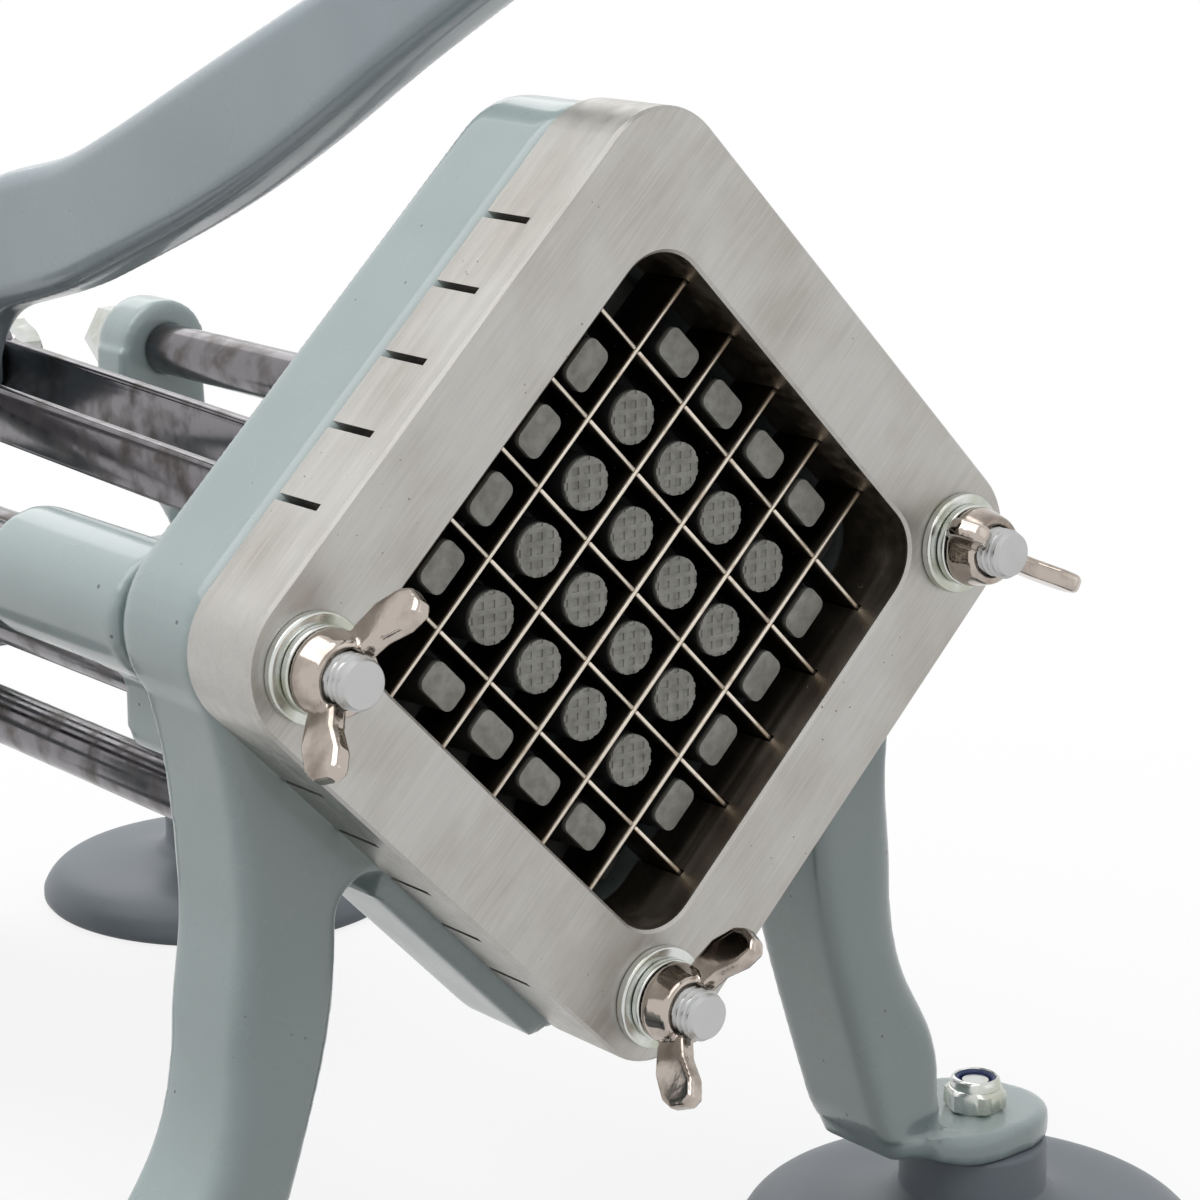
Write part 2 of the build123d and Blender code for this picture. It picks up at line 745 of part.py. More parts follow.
def make_grip():
    """Round grip that swells from the end of the lever."""
    neck = grip_neck_diameter / 2
    swell = Spline(
        (neck, 0),
        (grip_diameter / 2, grip_length * 0.45),
        (grip_end_diameter / 2, grip_length - grip_end_diameter / 2 + 2),
        tangents=[(0.05, 1), (-0.25, 1)],
    )
    end_line = Spline(swell @ 1, (0, grip_length), tangents=[(-0.25, 1), (-1, 0)])
    face = make_face([swell, end_line, Polyline((0, grip_length), (0, 0), (neck, 0))])
    grip = revolve(Plane.XZ * face, Axis.Z)
    start_y, start_z = lever_point(lever_length - 6, 0)
    start = Plane(
        origin=(0, start_y, start_z),
        x_dir=(1, 0, 0),
        z_dir=(0, -cos(radians(lever_rise)), sin(radians(lever_rise))),
    )
    return start.location * grip


def make_handle():
    """Cast handle with its two bores and a rounded grip."""
    half = handle_width / 2
    lever = across(handle_face(), -lever_width / 2, lever_width / 2)
    lever = fillet(lever.faces().sort_by(Axis.X)[0].edges(), handle_round)
    lever = fillet(lever.faces().sort_by(Axis.X)[-1].edges(), handle_round)
    boss_radius = pivot_lug_radius - 0.3
    boss = rod_along_x(pivot_y, pivot_z, 2 * boss_radius, -half, half)
    link_boss = rod_along_x(link_pin_y, link_pin_z, 2 * link_boss_radius, -half, half)
    handle = lever + boss + link_boss + make_grip()
    handle -= rod_along_x(pivot_y, pivot_z, pivot_bore, -half - 1, half + 1)
    handle -= rod_along_x(link_pin_y, link_pin_z, link_pin_diameter, -half - 1, half + 1)
    return handle


def make_link():
    """Right link: flat bar with an eye at each end."""
    rear_eye = Pos(link_pin_y, link_pin_z) * Circle(link_eye_radius)
    front_eye = Pos(carriage_pin_y, carriage_pin_z) * Circle(link_eye_radius)
    bar = Pos((link_pin_y + carriage_pin_y) / 2, (link_pin_z + carriage_pin_z) / 2)
    tilt = Vector(link_length, link_drop).get_angle(Vector(1, 0))
    span = sqrt(link_length**2 + link_drop**2)
    face = rear_eye + front_eye + bar * Rot(0, 0, tilt) * Rectangle(span, link_height)
    face -= Pos(link_pin_y, link_pin_z) * Circle(link_hole / 2)
    face -= Pos(carriage_pin_y, carriage_pin_z) * Circle(link_pin_diameter / 2)
    return across(face, link_inner_x, link_outer_x)


def make_bolt(y, z, diameter, flats, head_height, head_x, end_x):
    """Hexagon bolt from left to right."""
    head = across(Pos(y, z) * hexagon(flats), head_x - head_height, head_x)
    return head + rod_along_x(y, z, diameter, head_x, end_x)


def make_cross_nut(y, z, diameter, flats, height, face_x):
    """Hexagon nut on a bolt that runs from left to right."""
    face = Pos(y, z) * (hexagon(flats) - Circle(diameter / 2 + 0.02))
    return across(face, face_x, face_x + height)


# ---------------------------------------------------------------- feet
def make_cup(x, y):
    """Suction cup: neck, dome and flat lip, hollow below."""
    neck = cup_neck_diameter / 2
    neck_bottom = foot_tab_bottom_z - cup_neck_height
    rim_top = counter_z + cup_rim_height
    dome = Spline(
        (neck, neck_bottom),
        (neck + (cup_rim_radius - neck) * 0.45, neck_bottom - 2.6),
        (cup_rim_radius, rim_top),
        tangents=[(1, -0.15), (0.75, -1)],
    )
    lip_x = cup_rim_radius - cup_lip_width
    hollow = Spline(
        (lip_x, counter_z),
        (neck, neck_bottom - cup_wall - 1.5),
        (0, neck_bottom - cup_wall),
        tangents=[(-1, 0.55), (-1, 0)],
    )
    outline = [
        Line((0, foot_tab_bottom_z), (neck, foot_tab_bottom_z)),
        Line((neck, foot_tab_bottom_z), (neck, neck_bottom)),
        dome,
        Line((cup_rim_radius, rim_top), (cup_rim_radius, counter_z)),
        Line((cup_rim_radius, counter_z), (lip_x, counter_z)),
        hollow,
        Line((0, neck_bottom - cup_wall), (0, foot_tab_bottom_z)),
    ]
    cup = revolve(Plane.XZ * make_face(outline), Axis.Z)
    socket = upright(Circle(foot_stud_diameter / 2), foot_tab_bottom_z - foot_stud_depth, foot_tab_bottom_z + 1)
    return Pos(x, y, 0) * (cup - socket)


def foot_places():
    """Four feet, front pair first."""
    feet = ((front_foot_x, front_foot_y), (rear_foot_x, rear_foot_y))
    return [(side * x, y) for x, y in feet for side in (-1, 1)]


def make_foot_studs():
    """Threaded studs moulded into the cups."""
    top_z = foot_tab_top_z + foot_nut_height - 0.8
    bottom_z = foot_tab_bottom_z - foot_stud_depth
    return Compound([upright(Pos(*place) * Circle(foot_stud_diameter / 2), bottom_z, top_z) for place in foot_places()])


def make_foot_nuts():
    """Lock nuts: hexagon below, round collar above."""
    nuts = []
    for place in foot_places():
        hex_top = foot_tab_top_z + foot_nut_hex_height
        nut_top = foot_tab_top_z + foot_nut_height
        nut = upright(hexagon(foot_nut_flats), foot_tab_top_z, hex_top)
        nut += upright(Circle(foot_nut_collar_diameter / 2), hex_top, nut_top)
        nut -= upright(Circle(foot_stud_diameter / 2 + 0.02), foot_tab_top_z - 1, nut_top + 1)
        seat_z = nut_top - foot_insert_height
        nut -= upright(Circle(foot_insert_diameter / 2), seat_z, nut_top + 1)
        nuts.append(Pos(place[0], place[1], 0) * nut)
    return Compound(nuts)


def make_foot_inserts():
    """Nylon rings in the lock nuts."""
    top_z = foot_tab_top_z + foot_nut_height
    face = Circle(foot_insert_diameter / 2) - Circle(foot_stud_diameter / 2 + 0.02)
    rings = []
    for place in foot_places():
        rings.append(upright(Pos(*place) * face, top_z - foot_insert_height, top_z - 0.2))
    return Compound(rings)


# ---------------------------------------------------------------- all pieces by name
pieces = {
    "front_frame": make_front_frame(),
    "rear_frame": make_rear_frame(),
    "blade_frame": make_blade_frame(),
    "push_block": make_push_block(),
    "pusher_carriage": make_carriage(),
    "push_block_screws": make_block_screws(),
    "handle": make_handle(),
    "right_link": make_link(),
    "left_link": mirrored(make_link()),
    "left_tail_rod": make_tail_rod(-tail_rod_x),
    "right_tail_rod": make_tail_rod(tail_rod_x),
    "foot_studs": make_foot_studs(),
    "foot_lock_nuts": make_foot_nuts(),
    "foot_nut_inserts": make_foot_inserts(),
}
for number, blade_offset in enumerate(blade_offsets(), start=1):
    pieces[f"rising_blade_{number}"] = make_blade(blade_offset, square_turn, False)
    pieces[f"falling_blade_{number}"] = make_blade(blade_offset, -square_turn, True)
wing_angles = {"left": left_wing_angle, "right": right_wing_angle, "bottom": bottom_wing_angle}
for rod_name, rod_place in rod_places.items():
    pieces[f"{rod_name}_guide_rod"] = make_guide_rod(rod_name)
    pieces[f"{rod_name}_rod_bush"] = make_bush(rod_name)
    pieces[f"{rod_name}_flat_washer"] = ring_along_y(
        rod_place, flat_washer_diameter, washer_hole, -flat_washer_thickness, 0
    )
    pieces[f"{rod_name}_spring_washer"] = make_spring_washer(rod_place)
    pieces[f"{rod_name}_wing_nut"] = make_wing_nut(rod_place, wing_angles[rod_name])
pieces["rear_rod_nuts"] = Compound([make_rear_nut(rod_name) for rod_name in rod_places])
pieces["rear_rod_washers"] = Compound([make_rear_washer(rod_name) for rod_name in rod_places])
for cup_name, cup_place in zip(("front_left", "front_right", "rear_left", "rear_right"), foot_places()):
    pieces[f"{cup_name}_cup"] = make_cup(*cup_place)

lug_outer_x = slot_half_width + pivot_lug_thickness
pivot_face_x = lug_outer_x + pivot_washer_thickness
pieces["handle_pivot_bolt"] = make_bolt(
    pivot_y, pivot_z, pivot_bolt_diameter, pivot_head_flats, pivot_head_height,
    -pivot_face_x, pivot_face_x + pivot_nut_height + bolt_end,
)
pieces["handle_pivot_nut"] = make_cross_nut(
    pivot_y, pivot_z, pivot_bolt_diameter, pivot_head_flats, pivot_nut_height, pivot_face_x
)
pivot_washer_face = Circle(pivot_washer_diameter / 2) - Circle(pivot_bore / 2)
right_pivot_washer = across(Pos(pivot_y, pivot_z) * pivot_washer_face, lug_outer_x, pivot_face_x)
pieces["handle_pivot_washers"] = Compound([right_pivot_washer, mirrored(right_pivot_washer)])
link_bolt_end = link_outer_x + link_nut_height + bolt_end
pieces["link_rear_bolt"] = make_bolt(
    link_pin_y, link_pin_z, link_pin_diameter, link_head_flats, link_head_height,
    -link_outer_x - link_side_gap, link_bolt_end,
)
pieces["link_rear_nut"] = make_cross_nut(
    link_pin_y, link_pin_z, link_pin_diameter, link_head_flats, link_nut_height,
    link_outer_x + link_side_gap,
)
pieces["link_front_bolt"] = make_bolt(
    carriage_pin_y, carriage_pin_z, link_pin_diameter, link_head_flats, link_head_height,
    -link_outer_x, link_bolt_end,
)
pieces["link_front_nut"] = make_cross_nut(
    carriage_pin_y, carriage_pin_z, link_pin_diameter, link_head_flats, link_nut_height, link_outer_x
)

# ---------------------------------------------------------------- set on the counter and write
boxes = [piece.bounding_box() for piece in pieces.values()]
front_most_y = min(box.min.Y for box in boxes)
rear_most_y = max(box.max.Y for box in boxes)
counter_shift = Pos(0, -(front_most_y + rear_most_y) / 2, -counter_z)
os.makedirs("parts", exist_ok=True)
for name, piece in pieces.items():
    export_step(counter_shift * piece, f"parts/{name}.step")
print("moved back by", -(front_most_y + rear_most_y) / 2, "and up by", -counter_z)
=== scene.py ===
"""Looks of a lever french fry cutter on four suction cups.

The cutter is dressed sub-assembly by sub-assembly: the machined cutting square with its crossed
blades, the push block with its field of pins, the enamelled castings, the ground rods with their
wing nuts, the handle with its links, and the feet.
"""

from __future__ import annotations

import logging
import math
from collections.abc import Callable, Iterable, Sequence
from dataclasses import dataclass
from enum import Enum

import bmesh
import bpy
from mathutils import Euler, Matrix, Vector

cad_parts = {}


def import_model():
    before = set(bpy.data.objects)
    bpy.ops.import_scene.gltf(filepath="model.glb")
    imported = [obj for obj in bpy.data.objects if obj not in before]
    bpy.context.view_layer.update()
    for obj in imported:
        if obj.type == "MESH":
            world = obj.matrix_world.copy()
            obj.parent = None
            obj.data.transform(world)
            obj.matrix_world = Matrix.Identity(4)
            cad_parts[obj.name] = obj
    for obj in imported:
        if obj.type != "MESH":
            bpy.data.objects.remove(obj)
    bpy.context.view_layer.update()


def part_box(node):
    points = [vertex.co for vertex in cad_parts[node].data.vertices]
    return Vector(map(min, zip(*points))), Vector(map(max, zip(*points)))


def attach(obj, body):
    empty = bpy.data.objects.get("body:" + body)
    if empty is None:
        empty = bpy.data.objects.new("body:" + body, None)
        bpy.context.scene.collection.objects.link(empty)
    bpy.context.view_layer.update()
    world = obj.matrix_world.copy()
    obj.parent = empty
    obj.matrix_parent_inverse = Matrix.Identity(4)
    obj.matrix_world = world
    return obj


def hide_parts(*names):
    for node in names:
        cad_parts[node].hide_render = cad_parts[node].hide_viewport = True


MM = 0.001
LOG = logging.getLogger("fry_cutter")

BMesh = bmesh.types.BMesh
Material = bpy.types.Material
Piece = bpy.types.Object
Socket = bpy.types.NodeSocket
Inputs = dict[str | int, object]
Profile = Sequence[tuple[float, ...]]
Reach = Callable[..., float]
Shift = Callable[[Vector, Vector], Vector]


# ---------------------------------------------------------------- frame and names
class Body(Enum):
    """Moving groups of the cutter."""

    BASE = "base"
    PUSHER = "pusher"
    HANDLE = "handle"
    LINKS = "links"
    LEFT_WING = "left_wing"
    RIGHT_WING = "right_wing"
    BOTTOM_WING = "bottom_wing"


class Slot(Enum):
    """Finish slots of the record."""

    ENAMEL = "teal_grey_enamel"
    HANDLE_ENAMEL = "handle_enamel"
    ALUMINIUM = "machined_aluminium"
    BLADE = "blade_steel"
    CASTING = "block_casting"
    CHROME = "chrome_plate"
    ZINC = "zinc_plate"
    NICKEL = "nickel_plate"
    BEARING = "bearing_nylon"
    BLUE = "blue_nylon"
    RUBBER = "cup_rubber"


@dataclass(frozen=True)
class CutterFrame:
    """Places in millimetres from the middle of the cutting square's front face.

    X runs to the right seen from the front, Y to the back and Z up.
    """

    front_y: float
    axis_z: float

    @classmethod
    def from_square(cls) -> CutterFrame:
        """Find the frame from the cutting square's CAD node.

        Returns:
            The frame whose origin is the middle of the square's front face.
        """
        low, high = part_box("blade_frame")
        return cls(front_y=low.y / MM, axis_z=(low.z + high.z) / 2 / MM)

    def at(self, x: float, y: float, z: float) -> Vector:
        """Turn a place in millimetres into metres in the row frame.

        Args:
            x: Millimetres to the right.
            y: Millimetres to the back.
            z: Millimetres up.

        Returns:
            The place in metres.
        """
        return Vector((x, y + self.front_y, z + self.axis_z)) * MM

    def move(self, bm: BMesh) -> None:
        """Move a mesh drawn in cutter millimetres to its place in metres."""
        for vert in bm.verts:
            vert.co = self.at(*vert.co)


# ---------------------------------------------------------------- colour and nodes
def paint(code: str) -> tuple[float, float, float, float]:
    """Turn an sRGB hex colour into linear light.

    Args:
        code: Six hex digits.

    Returns:
        Linear red, green, blue and full alpha.
    """

    def linear(level: float) -> float:
        """Undo the sRGB curve of one channel."""
        return level / 12.92 if level <= 0.04045 else ((level + 0.055) / 1.055) ** 2.4

    red, green, blue = (linear(int(code[i : i + 2], 16) / 255) for i in (0, 2, 4))
    return (red, green, blue, 1.0)


def per_mm(size: float) -> float:
    """Texture scale whose features are about this many millimetres wide."""
    return 1 / (size * MM)


class Sketch:
    """A node tree that is being drawn."""

    def __init__(self, tree: bpy.types.NodeTree, family: str = "ShaderNode") -> None:
        """Open a tree for drawing.

        Args:
            tree: The tree.
            family: Start of the type names of most of its nodes.
        """
        self.tree = tree
        self.family = family

    @classmethod
    def of(cls, owner: Material | bpy.types.World) -> Sketch:
        """Open the emptied tree of a material or a world.

        Args:
            owner: The material or the world.

        Returns:
            Its tree.
        """
        owner.use_nodes = True
        owner.node_tree.nodes.clear()
        return cls(owner.node_tree)

    def add(
        self, kind: str, inputs: Inputs | None = None, output: str | int = 0, **settings: object
    ) -> Socket:
        """Add a node with its settings and links.

        Args:
            kind: The node's type name, from which the family's may be left out.
            inputs: Values of its sockets, or the sockets that they are linked from.
            output: The output that is wanted.
            settings: Values of the node's own properties.

        Returns:
            That output, or None for a node without outputs.
        """
        node = self.tree.nodes.new(kind if "Node" in kind else self.family + kind)
        for name, value in settings.items():
            setattr(node, name, value)
        for key, value in (inputs or {}).items():
            if isinstance(value, Socket):
                self.tree.links.new(value, node.inputs[key])
            else:
                node.inputs[key].default_value = value
        return node.outputs[output] if len(node.outputs) else None


def blend(
    sketch: Sketch,
    pattern: Socket,
    span: tuple[float, float],
    first: str | Socket,
    second: str | Socket,
    share: float = 1.0,
) -> Socket:
    """Blend from one colour to another where a pattern rises.

    Args:
        sketch: The material's tree.
        pattern: The pattern.
        span: Values of the pattern at which the blend starts and ends.
        first: Hex colour or socket at the start.
        second: Hex colour or socket at the end.
        share: Share of the second colour at the end.

    Returns:
        The colour.
    """
    mix = sketch.add("MapRange", {0: pattern, 1: span[0], 2: span[1], 3: 0, 4: share})
    ends = [paint(end) if isinstance(end, str) else end for end in (first, second)]
    return sketch.add("Mix", {0: mix, 6: ends[0], 7: ends[1]}, 2, data_type="RGBA")


def specks(sketch: Sketch, place: Socket, spacing: float, size: float, patches: float) -> Socket:
    """Scattered round specks, one where they are and zero elsewhere.

    Args:
        sketch: The material's tree.
        place: Coordinates.
        spacing: Millimetres between neighbouring cells.
        size: Radius of a speck in millimetres.
        patches: Share of the cells that stay empty.

    Returns:
        The mask.
    """
    distance = sketch.add("TexVoronoi", {"Vector": place, "Scale": per_mm(spacing)}, "Distance")
    radius = size / spacing
    near = sketch.add("MapRange", {0: distance, 1: radius * 0.6, 2: radius, 3: 1, 4: 0})
    chosen = sketch.add("SeparateColor", {0: distance.node.outputs["Color"]})
    some = sketch.add("MapRange", {0: chosen, 1: patches, 2: patches + 0.02, 3: 0, 4: 1})
    return sketch.add("Math", {0: near, 1: some}, operation="MULTIPLY")


# ---------------------------------------------------------------- finishes
@dataclass(frozen=True)
class Finish:
    """What one slot is made of and how its surface was made."""

    slot: Slot

    def material(self) -> Material:
        """Build the material, one Principled shader under this finish's patterns.

        Returns:
            The material.
        """
        material = bpy.data.materials.new(self.slot.value)
        sketch = Sketch.of(material)
        place = sketch.add("TexCoord", output="Object")
        shader = sketch.add("BsdfPrincipled", self.surface(sketch, place))
        sketch.add("OutputMaterial", {"Surface": shader})
        return material

    def surface(self, sketch: Sketch, place: Socket) -> Inputs:
        """Draw the patterns of the surface.

        Args:
            sketch: The material's tree.
            place: Object coordinates.

        Returns:
            The shader's inputs.
        """
        raise NotImplementedError


@dataclass(frozen=True)
class Enamel(Finish):
    """Stoved enamel on cast aluminium: glossy, slightly wavy, with pinholes of the casting."""

    colour: str
    pale: str
    wave_depth: float = 0.03
    pin_share: float = 0.7

    def surface(self, sketch: Sketch, place: Socket) -> Inputs:
        """Draw soft clouds, waves and pinholes; see Finish.surface."""
        cloud = sketch.add("TexNoise", {"Vector": place, "Scale": per_mm(38), "Detail": 2})
        colour = blend(sketch, cloud, (0.35, 0.65), self.colour, self.pale)
        pits = specks(sketch, place, 6.0, 0.42, self.pin_share)
        tiny = specks(sketch, place, 3.4, 0.3, self.pin_share + 0.08)
        holes = sketch.add("Math", {0: pits, 1: tiny}, operation="MAXIMUM")
        # Run-off of thick enamel gives long low waves, and the sand of the mould short ones.
        normal = None
        for size, detail, depth in ((7.0, 1, self.wave_depth * 3), (1.1, 2, self.wave_depth / 2)):
            wave = sketch.add(
                "TexNoise", {"Vector": place, "Scale": per_mm(size), "Detail": detail}
            )
            bump: Inputs = {"Height": wave, "Distance": depth * MM, "Strength": 1}
            normal = sketch.add("Bump", bump if normal is None else {**bump, "Normal": normal})
        level = sketch.add("MapRange", {0: holes, 1: 0, 2: 1, 3: 1, 4: 0})
        sunk = {"Height": level, "Distance": 0.12 * MM, "Strength": 1, "Normal": normal}
        bloom = sketch.add("TexNoise", {"Vector": place, "Scale": per_mm(14), "Detail": 2})
        # Pinholes are coloured dark: painted shade inside the holes.
        return {
            "Base Color": blend(sketch, holes, (0, 1), colour, "2c3535", 0.72),
            "Normal": sketch.add("Bump", sunk),
            "Roughness": sketch.add("MapRange", {0: bloom, 1: 0.3, 2: 0.7, 3: 0.24, 4: 0.36}),
            "Coat Weight": 0.5,
            "Coat Roughness": 0.09,
        }


@dataclass(frozen=True)
class MachinedAluminium(Finish):
    """Cast aluminium, milled flat and brushed: fine parallel scratches and open pores."""

    middle: Vector
    colour: str = "b4b2ae"
    stain: str = "989289"
    streak: str = "cbc9c5"
    # Dark brown of the pores is painted shade inside them.
    pore: str = "4a443c"
    # The wall colours are painted shade: brown for the shaded wall of the opening, darker in
    # clouds.
    wall: str = "b8ad9f"
    wall_deep_shade: str = "877b6d"
    opening: float = 79.8

    def surface(self, sketch: Sketch, place: Socket) -> Inputs:
        """Draw scratches, stains and pores; see Finish.surface."""
        # The square was brushed along its rising sides, so scratches run 45 degrees up.
        level = sketch.add("Mapping", {"Vector": place, "Rotation": (0, math.pi / 4, 0)})
        along = sketch.add("Mapping", {"Vector": level, "Scale": (0.04, 1, 1)})
        scratch = sketch.add("TexNoise", {"Vector": along, "Scale": per_mm(0.35), "Detail": 4})
        broad = sketch.add("TexNoise", {"Vector": along, "Scale": per_mm(2.2), "Detail": 3})
        cloud = sketch.add("TexNoise", {"Vector": place, "Scale": per_mm(16), "Detail": 4})
        patch = sketch.add("TexNoise", {"Vector": place, "Scale": per_mm(22), "Detail": 2})
        stained = blend(sketch, cloud, (0.42, 0.72), self.colour, self.stain, 0.55)
        streaked = blend(sketch, scratch, (0.35, 0.7), stained, self.streak, 0.28)
        porous = sketch.add("MapRange", {0: patch, 1: 0.5, 2: 0.62, 3: 0, 4: 1})
        # Pores are coloured dark brown where they open: painted shade inside the holes.
        pores = specks(sketch, place, 1.5, 0.17, 0.72)
        open_pores = sketch.add("Math", {0: pores, 1: porous}, operation="MULTIPLY")
        outside = blend(sketch, open_pores, (0, 1), streaked, self.pore)
        # The opening's wall is left as cast; its brown colour, darker in random clouds, is painted
        # shade and painted reflection of the dark opening.
        wall = blend(sketch, cloud, (0.35, 0.65), self.wall, self.wall_deep_shade)
        brushed = sketch.add("Bump", {"Height": scratch, "Distance": 0.012 * MM, "Strength": 1})
        uneven = sketch.add(
            "Bump", {"Height": broad, "Distance": 0.02 * MM, "Strength": 1, "Normal": brushed}
        )
        face = sketch.add("MapRange", {0: open_pores, 1: 0, 2: 1, 3: 1, 4: 0})
        return {
            "Base Color": blend(sketch, self.on_wall(sketch, place), (0, 1), outside, wall),
            "Normal": sketch.add(
                "Bump", {"Height": face, "Distance": 0.08 * MM, "Strength": 1, "Normal": uneven}
            ),
            "Roughness": sketch.add("MapRange", {0: broad, 1: 0.3, 2: 0.7, 3: 0.34, 4: 0.5}),
            "Metallic": 1,
        }

    def on_wall(self, sketch: Sketch, place: Socket) -> Socket:
        """One on the wall of the opening and zero on the machined faces.

        Args:
            sketch: The material's tree.
            place: Object coordinates.

        Returns:
            The mask.
        """
        centred = sketch.add(
            "VectorMath", {0: place, 1: tuple(self.middle)}, operation="SUBTRACT"
        )
        level = sketch.add("Mapping", {"Vector": centred, "Rotation": (0, math.pi / 4, 0)})
        sides = sketch.add("SeparateXYZ", {0: level}).node.outputs
        across, up = (sketch.add("Math", {0: sides[key]}, operation="ABSOLUTE") for key in "XZ")
        reach = sketch.add("Math", {0: across, 1: up}, operation="MAXIMUM")
        edge = self.opening / 2
        near = sketch.add(
            "MapRange", {0: reach, 1: (edge + 0.6) * MM, 2: (edge + 1.2) * MM, 3: 1, 4: 0}
        )
        deep = sketch.add("MapRange", {0: sides["Y"], 1: 0.7 * MM, 2: MM, 3: 0, 4: 1})
        return sketch.add("Math", {0: near, 1: deep}, operation="MULTIPLY")


@dataclass(frozen=True)
class BladeSteel(Finish):
    """Hardened stainless strip, rolled bright, with faint tea-coloured water marks."""

    front_y: float
    colour: str = "d9d0c3"
    stain: str = "9b8467"
    # Dark brown of the flanks is painted shade deep in the cells between the blades.
    flank_shade: str = "4d463d"

    def surface(self, sketch: Sketch, place: Socket) -> Inputs:
        """Draw water marks and the painted shade on the flanks; see Finish.surface."""
        marks = sketch.add("TexNoise", {"Vector": place, "Scale": per_mm(3), "Detail": 4})
        marked = blend(sketch, marks, (0.56, 0.74), self.colour, self.stain, 0.6)
        # Only the edge is ground bright; behind it the flanks are coloured dark brown as painted
        # shade between the blades.
        depth = sketch.add("SeparateXYZ", {0: place}, "Y")
        flank_shade_depth = (self.front_y + 0.2 * MM, self.front_y + 0.6 * MM)
        return {
            "Base Color": blend(sketch, depth, flank_shade_depth, marked, self.flank_shade),
            "Roughness": sketch.add("MapRange", {0: marks, 1: 0.3, 2: 0.7, 3: 0.3, 4: 0.46}),
            "Metallic": 1,
        }


@dataclass(frozen=True)
class BlockCasting(Finish):
    """Die-cast block, tumbled: pale matt pin faces, with dark painted shade on the pins' sides and
    the block behind them.
    """

    face_y: float
    face: str = "9c9b95"
    face_mottle: str = "8b8a84"
    # Dark colour behind the pin faces is painted shade between the pins.
    skin: str = "2b2c2c"

    def surface(self, sketch: Sketch, place: Socket) -> Inputs:
        """Draw the tumbled faces and the painted shade behind them; see Finish.surface."""
        depth = sketch.add("SeparateXYZ", {0: place}, "Y")
        mottle = sketch.add("TexNoise", {"Vector": place, "Scale": per_mm(1.6), "Detail": 3})
        face = blend(sketch, mottle, (0.35, 0.7), self.face, self.face_mottle)
        # Behind the faces the colour turns to the painted shade between the pins.
        behind = (self.face_y + 0.2 * MM, self.face_y + 1.1 * MM)
        return {
            "Base Color": blend(sketch, depth, behind, face, self.skin),
            "Normal": sketch.add("Bump", {"Height": mottle, "Distance": 0.03 * MM, "Strength": 1}),
            "Roughness": sketch.add("MapRange", {0: mottle, 1: 0.3, 2: 0.7, 3: 0.5, 4: 0.66}),
            "Metallic": 0.35,
        }


@dataclass(frozen=True)
class Plate(Finish):
    """Electroplate on steel: bright, with the ripple and haze of the metal under it. On the chrome,
    colour and haze are made dark and brown as a painted reflection of a dark room.

    In front of one plane the steel was cut after plating and is bare.
    """

    colour: str
    haze_and_painted_reflection: str
    gloss: float
    haze_gloss: float
    ripple: float = 0.01
    bare_before: float = -1.0
    bare: str = "bcbdbc"

    def surface(self, sketch: Sketch, place: Socket) -> Inputs:
        """Draw haze, ripple and the bare steel in front; see Finish.surface."""
        cloud = sketch.add("TexNoise", {"Vector": place, "Scale": per_mm(6), "Detail": 4})
        plated = blend(sketch, cloud, (0.45, 0.68), self.colour, self.haze_and_painted_reflection)
        along = sketch.add("SeparateXYZ", {0: place}, "Y")
        limit = self.bare_before
        bare = sketch.add("MapRange", {0: along, 1: limit, 2: limit + 0.5 * MM, 3: 1, 4: 0})
        gloss = sketch.add(
            "MapRange", {0: cloud, 1: 0.42, 2: 0.7, 3: self.gloss, 4: self.haze_gloss}
        )
        ripple = sketch.add("TexNoise", {"Vector": place, "Scale": per_mm(2.5), "Detail": 2})
        return {
            "Base Color": blend(sketch, bare, (0, 1), plated, self.bare),
            "Normal": sketch.add(
                "Bump", {"Height": ripple, "Distance": self.ripple * MM, "Strength": 1}
            ),
            "Roughness": sketch.add(
                "Math", {0: bare, 1: 0.25, 2: gloss}, operation="MULTIPLY_ADD"
            ),
            "Metallic": 1,
        }


@dataclass(frozen=True)
class Moulding(Finish):
    """Moulded nylon or rubber: one colour, a matt skin and a faint bloom."""

    colour: str
    bloom: str
    gloss: float
    grain: float = 0.02
    shine: float = 0.0

    def surface(self, sketch: Sketch, place: Socket) -> Inputs:
        """Draw the bloom and the grain of the mould; see Finish.surface."""
        cloud = sketch.add("TexNoise", {"Vector": place, "Scale": per_mm(20), "Detail": 3})
        grain = sketch.add("TexNoise", {"Vector": place, "Scale": per_mm(0.8), "Detail": 2})
        rough = {0: cloud, 1: 0.3, 2: 0.7, 3: self.gloss - 0.05, 4: self.gloss + 0.07}
        return {
            "Base Color": blend(sketch, cloud, (0.35, 0.7), self.colour, self.bloom),
            "Normal": sketch.add(
                "Bump", {"Height": grain, "Distance": self.grain * MM, "Strength": 1}
            ),
            "Roughness": sketch.add("MapRange", rough),
            "Sheen Weight": self.shine,
        }


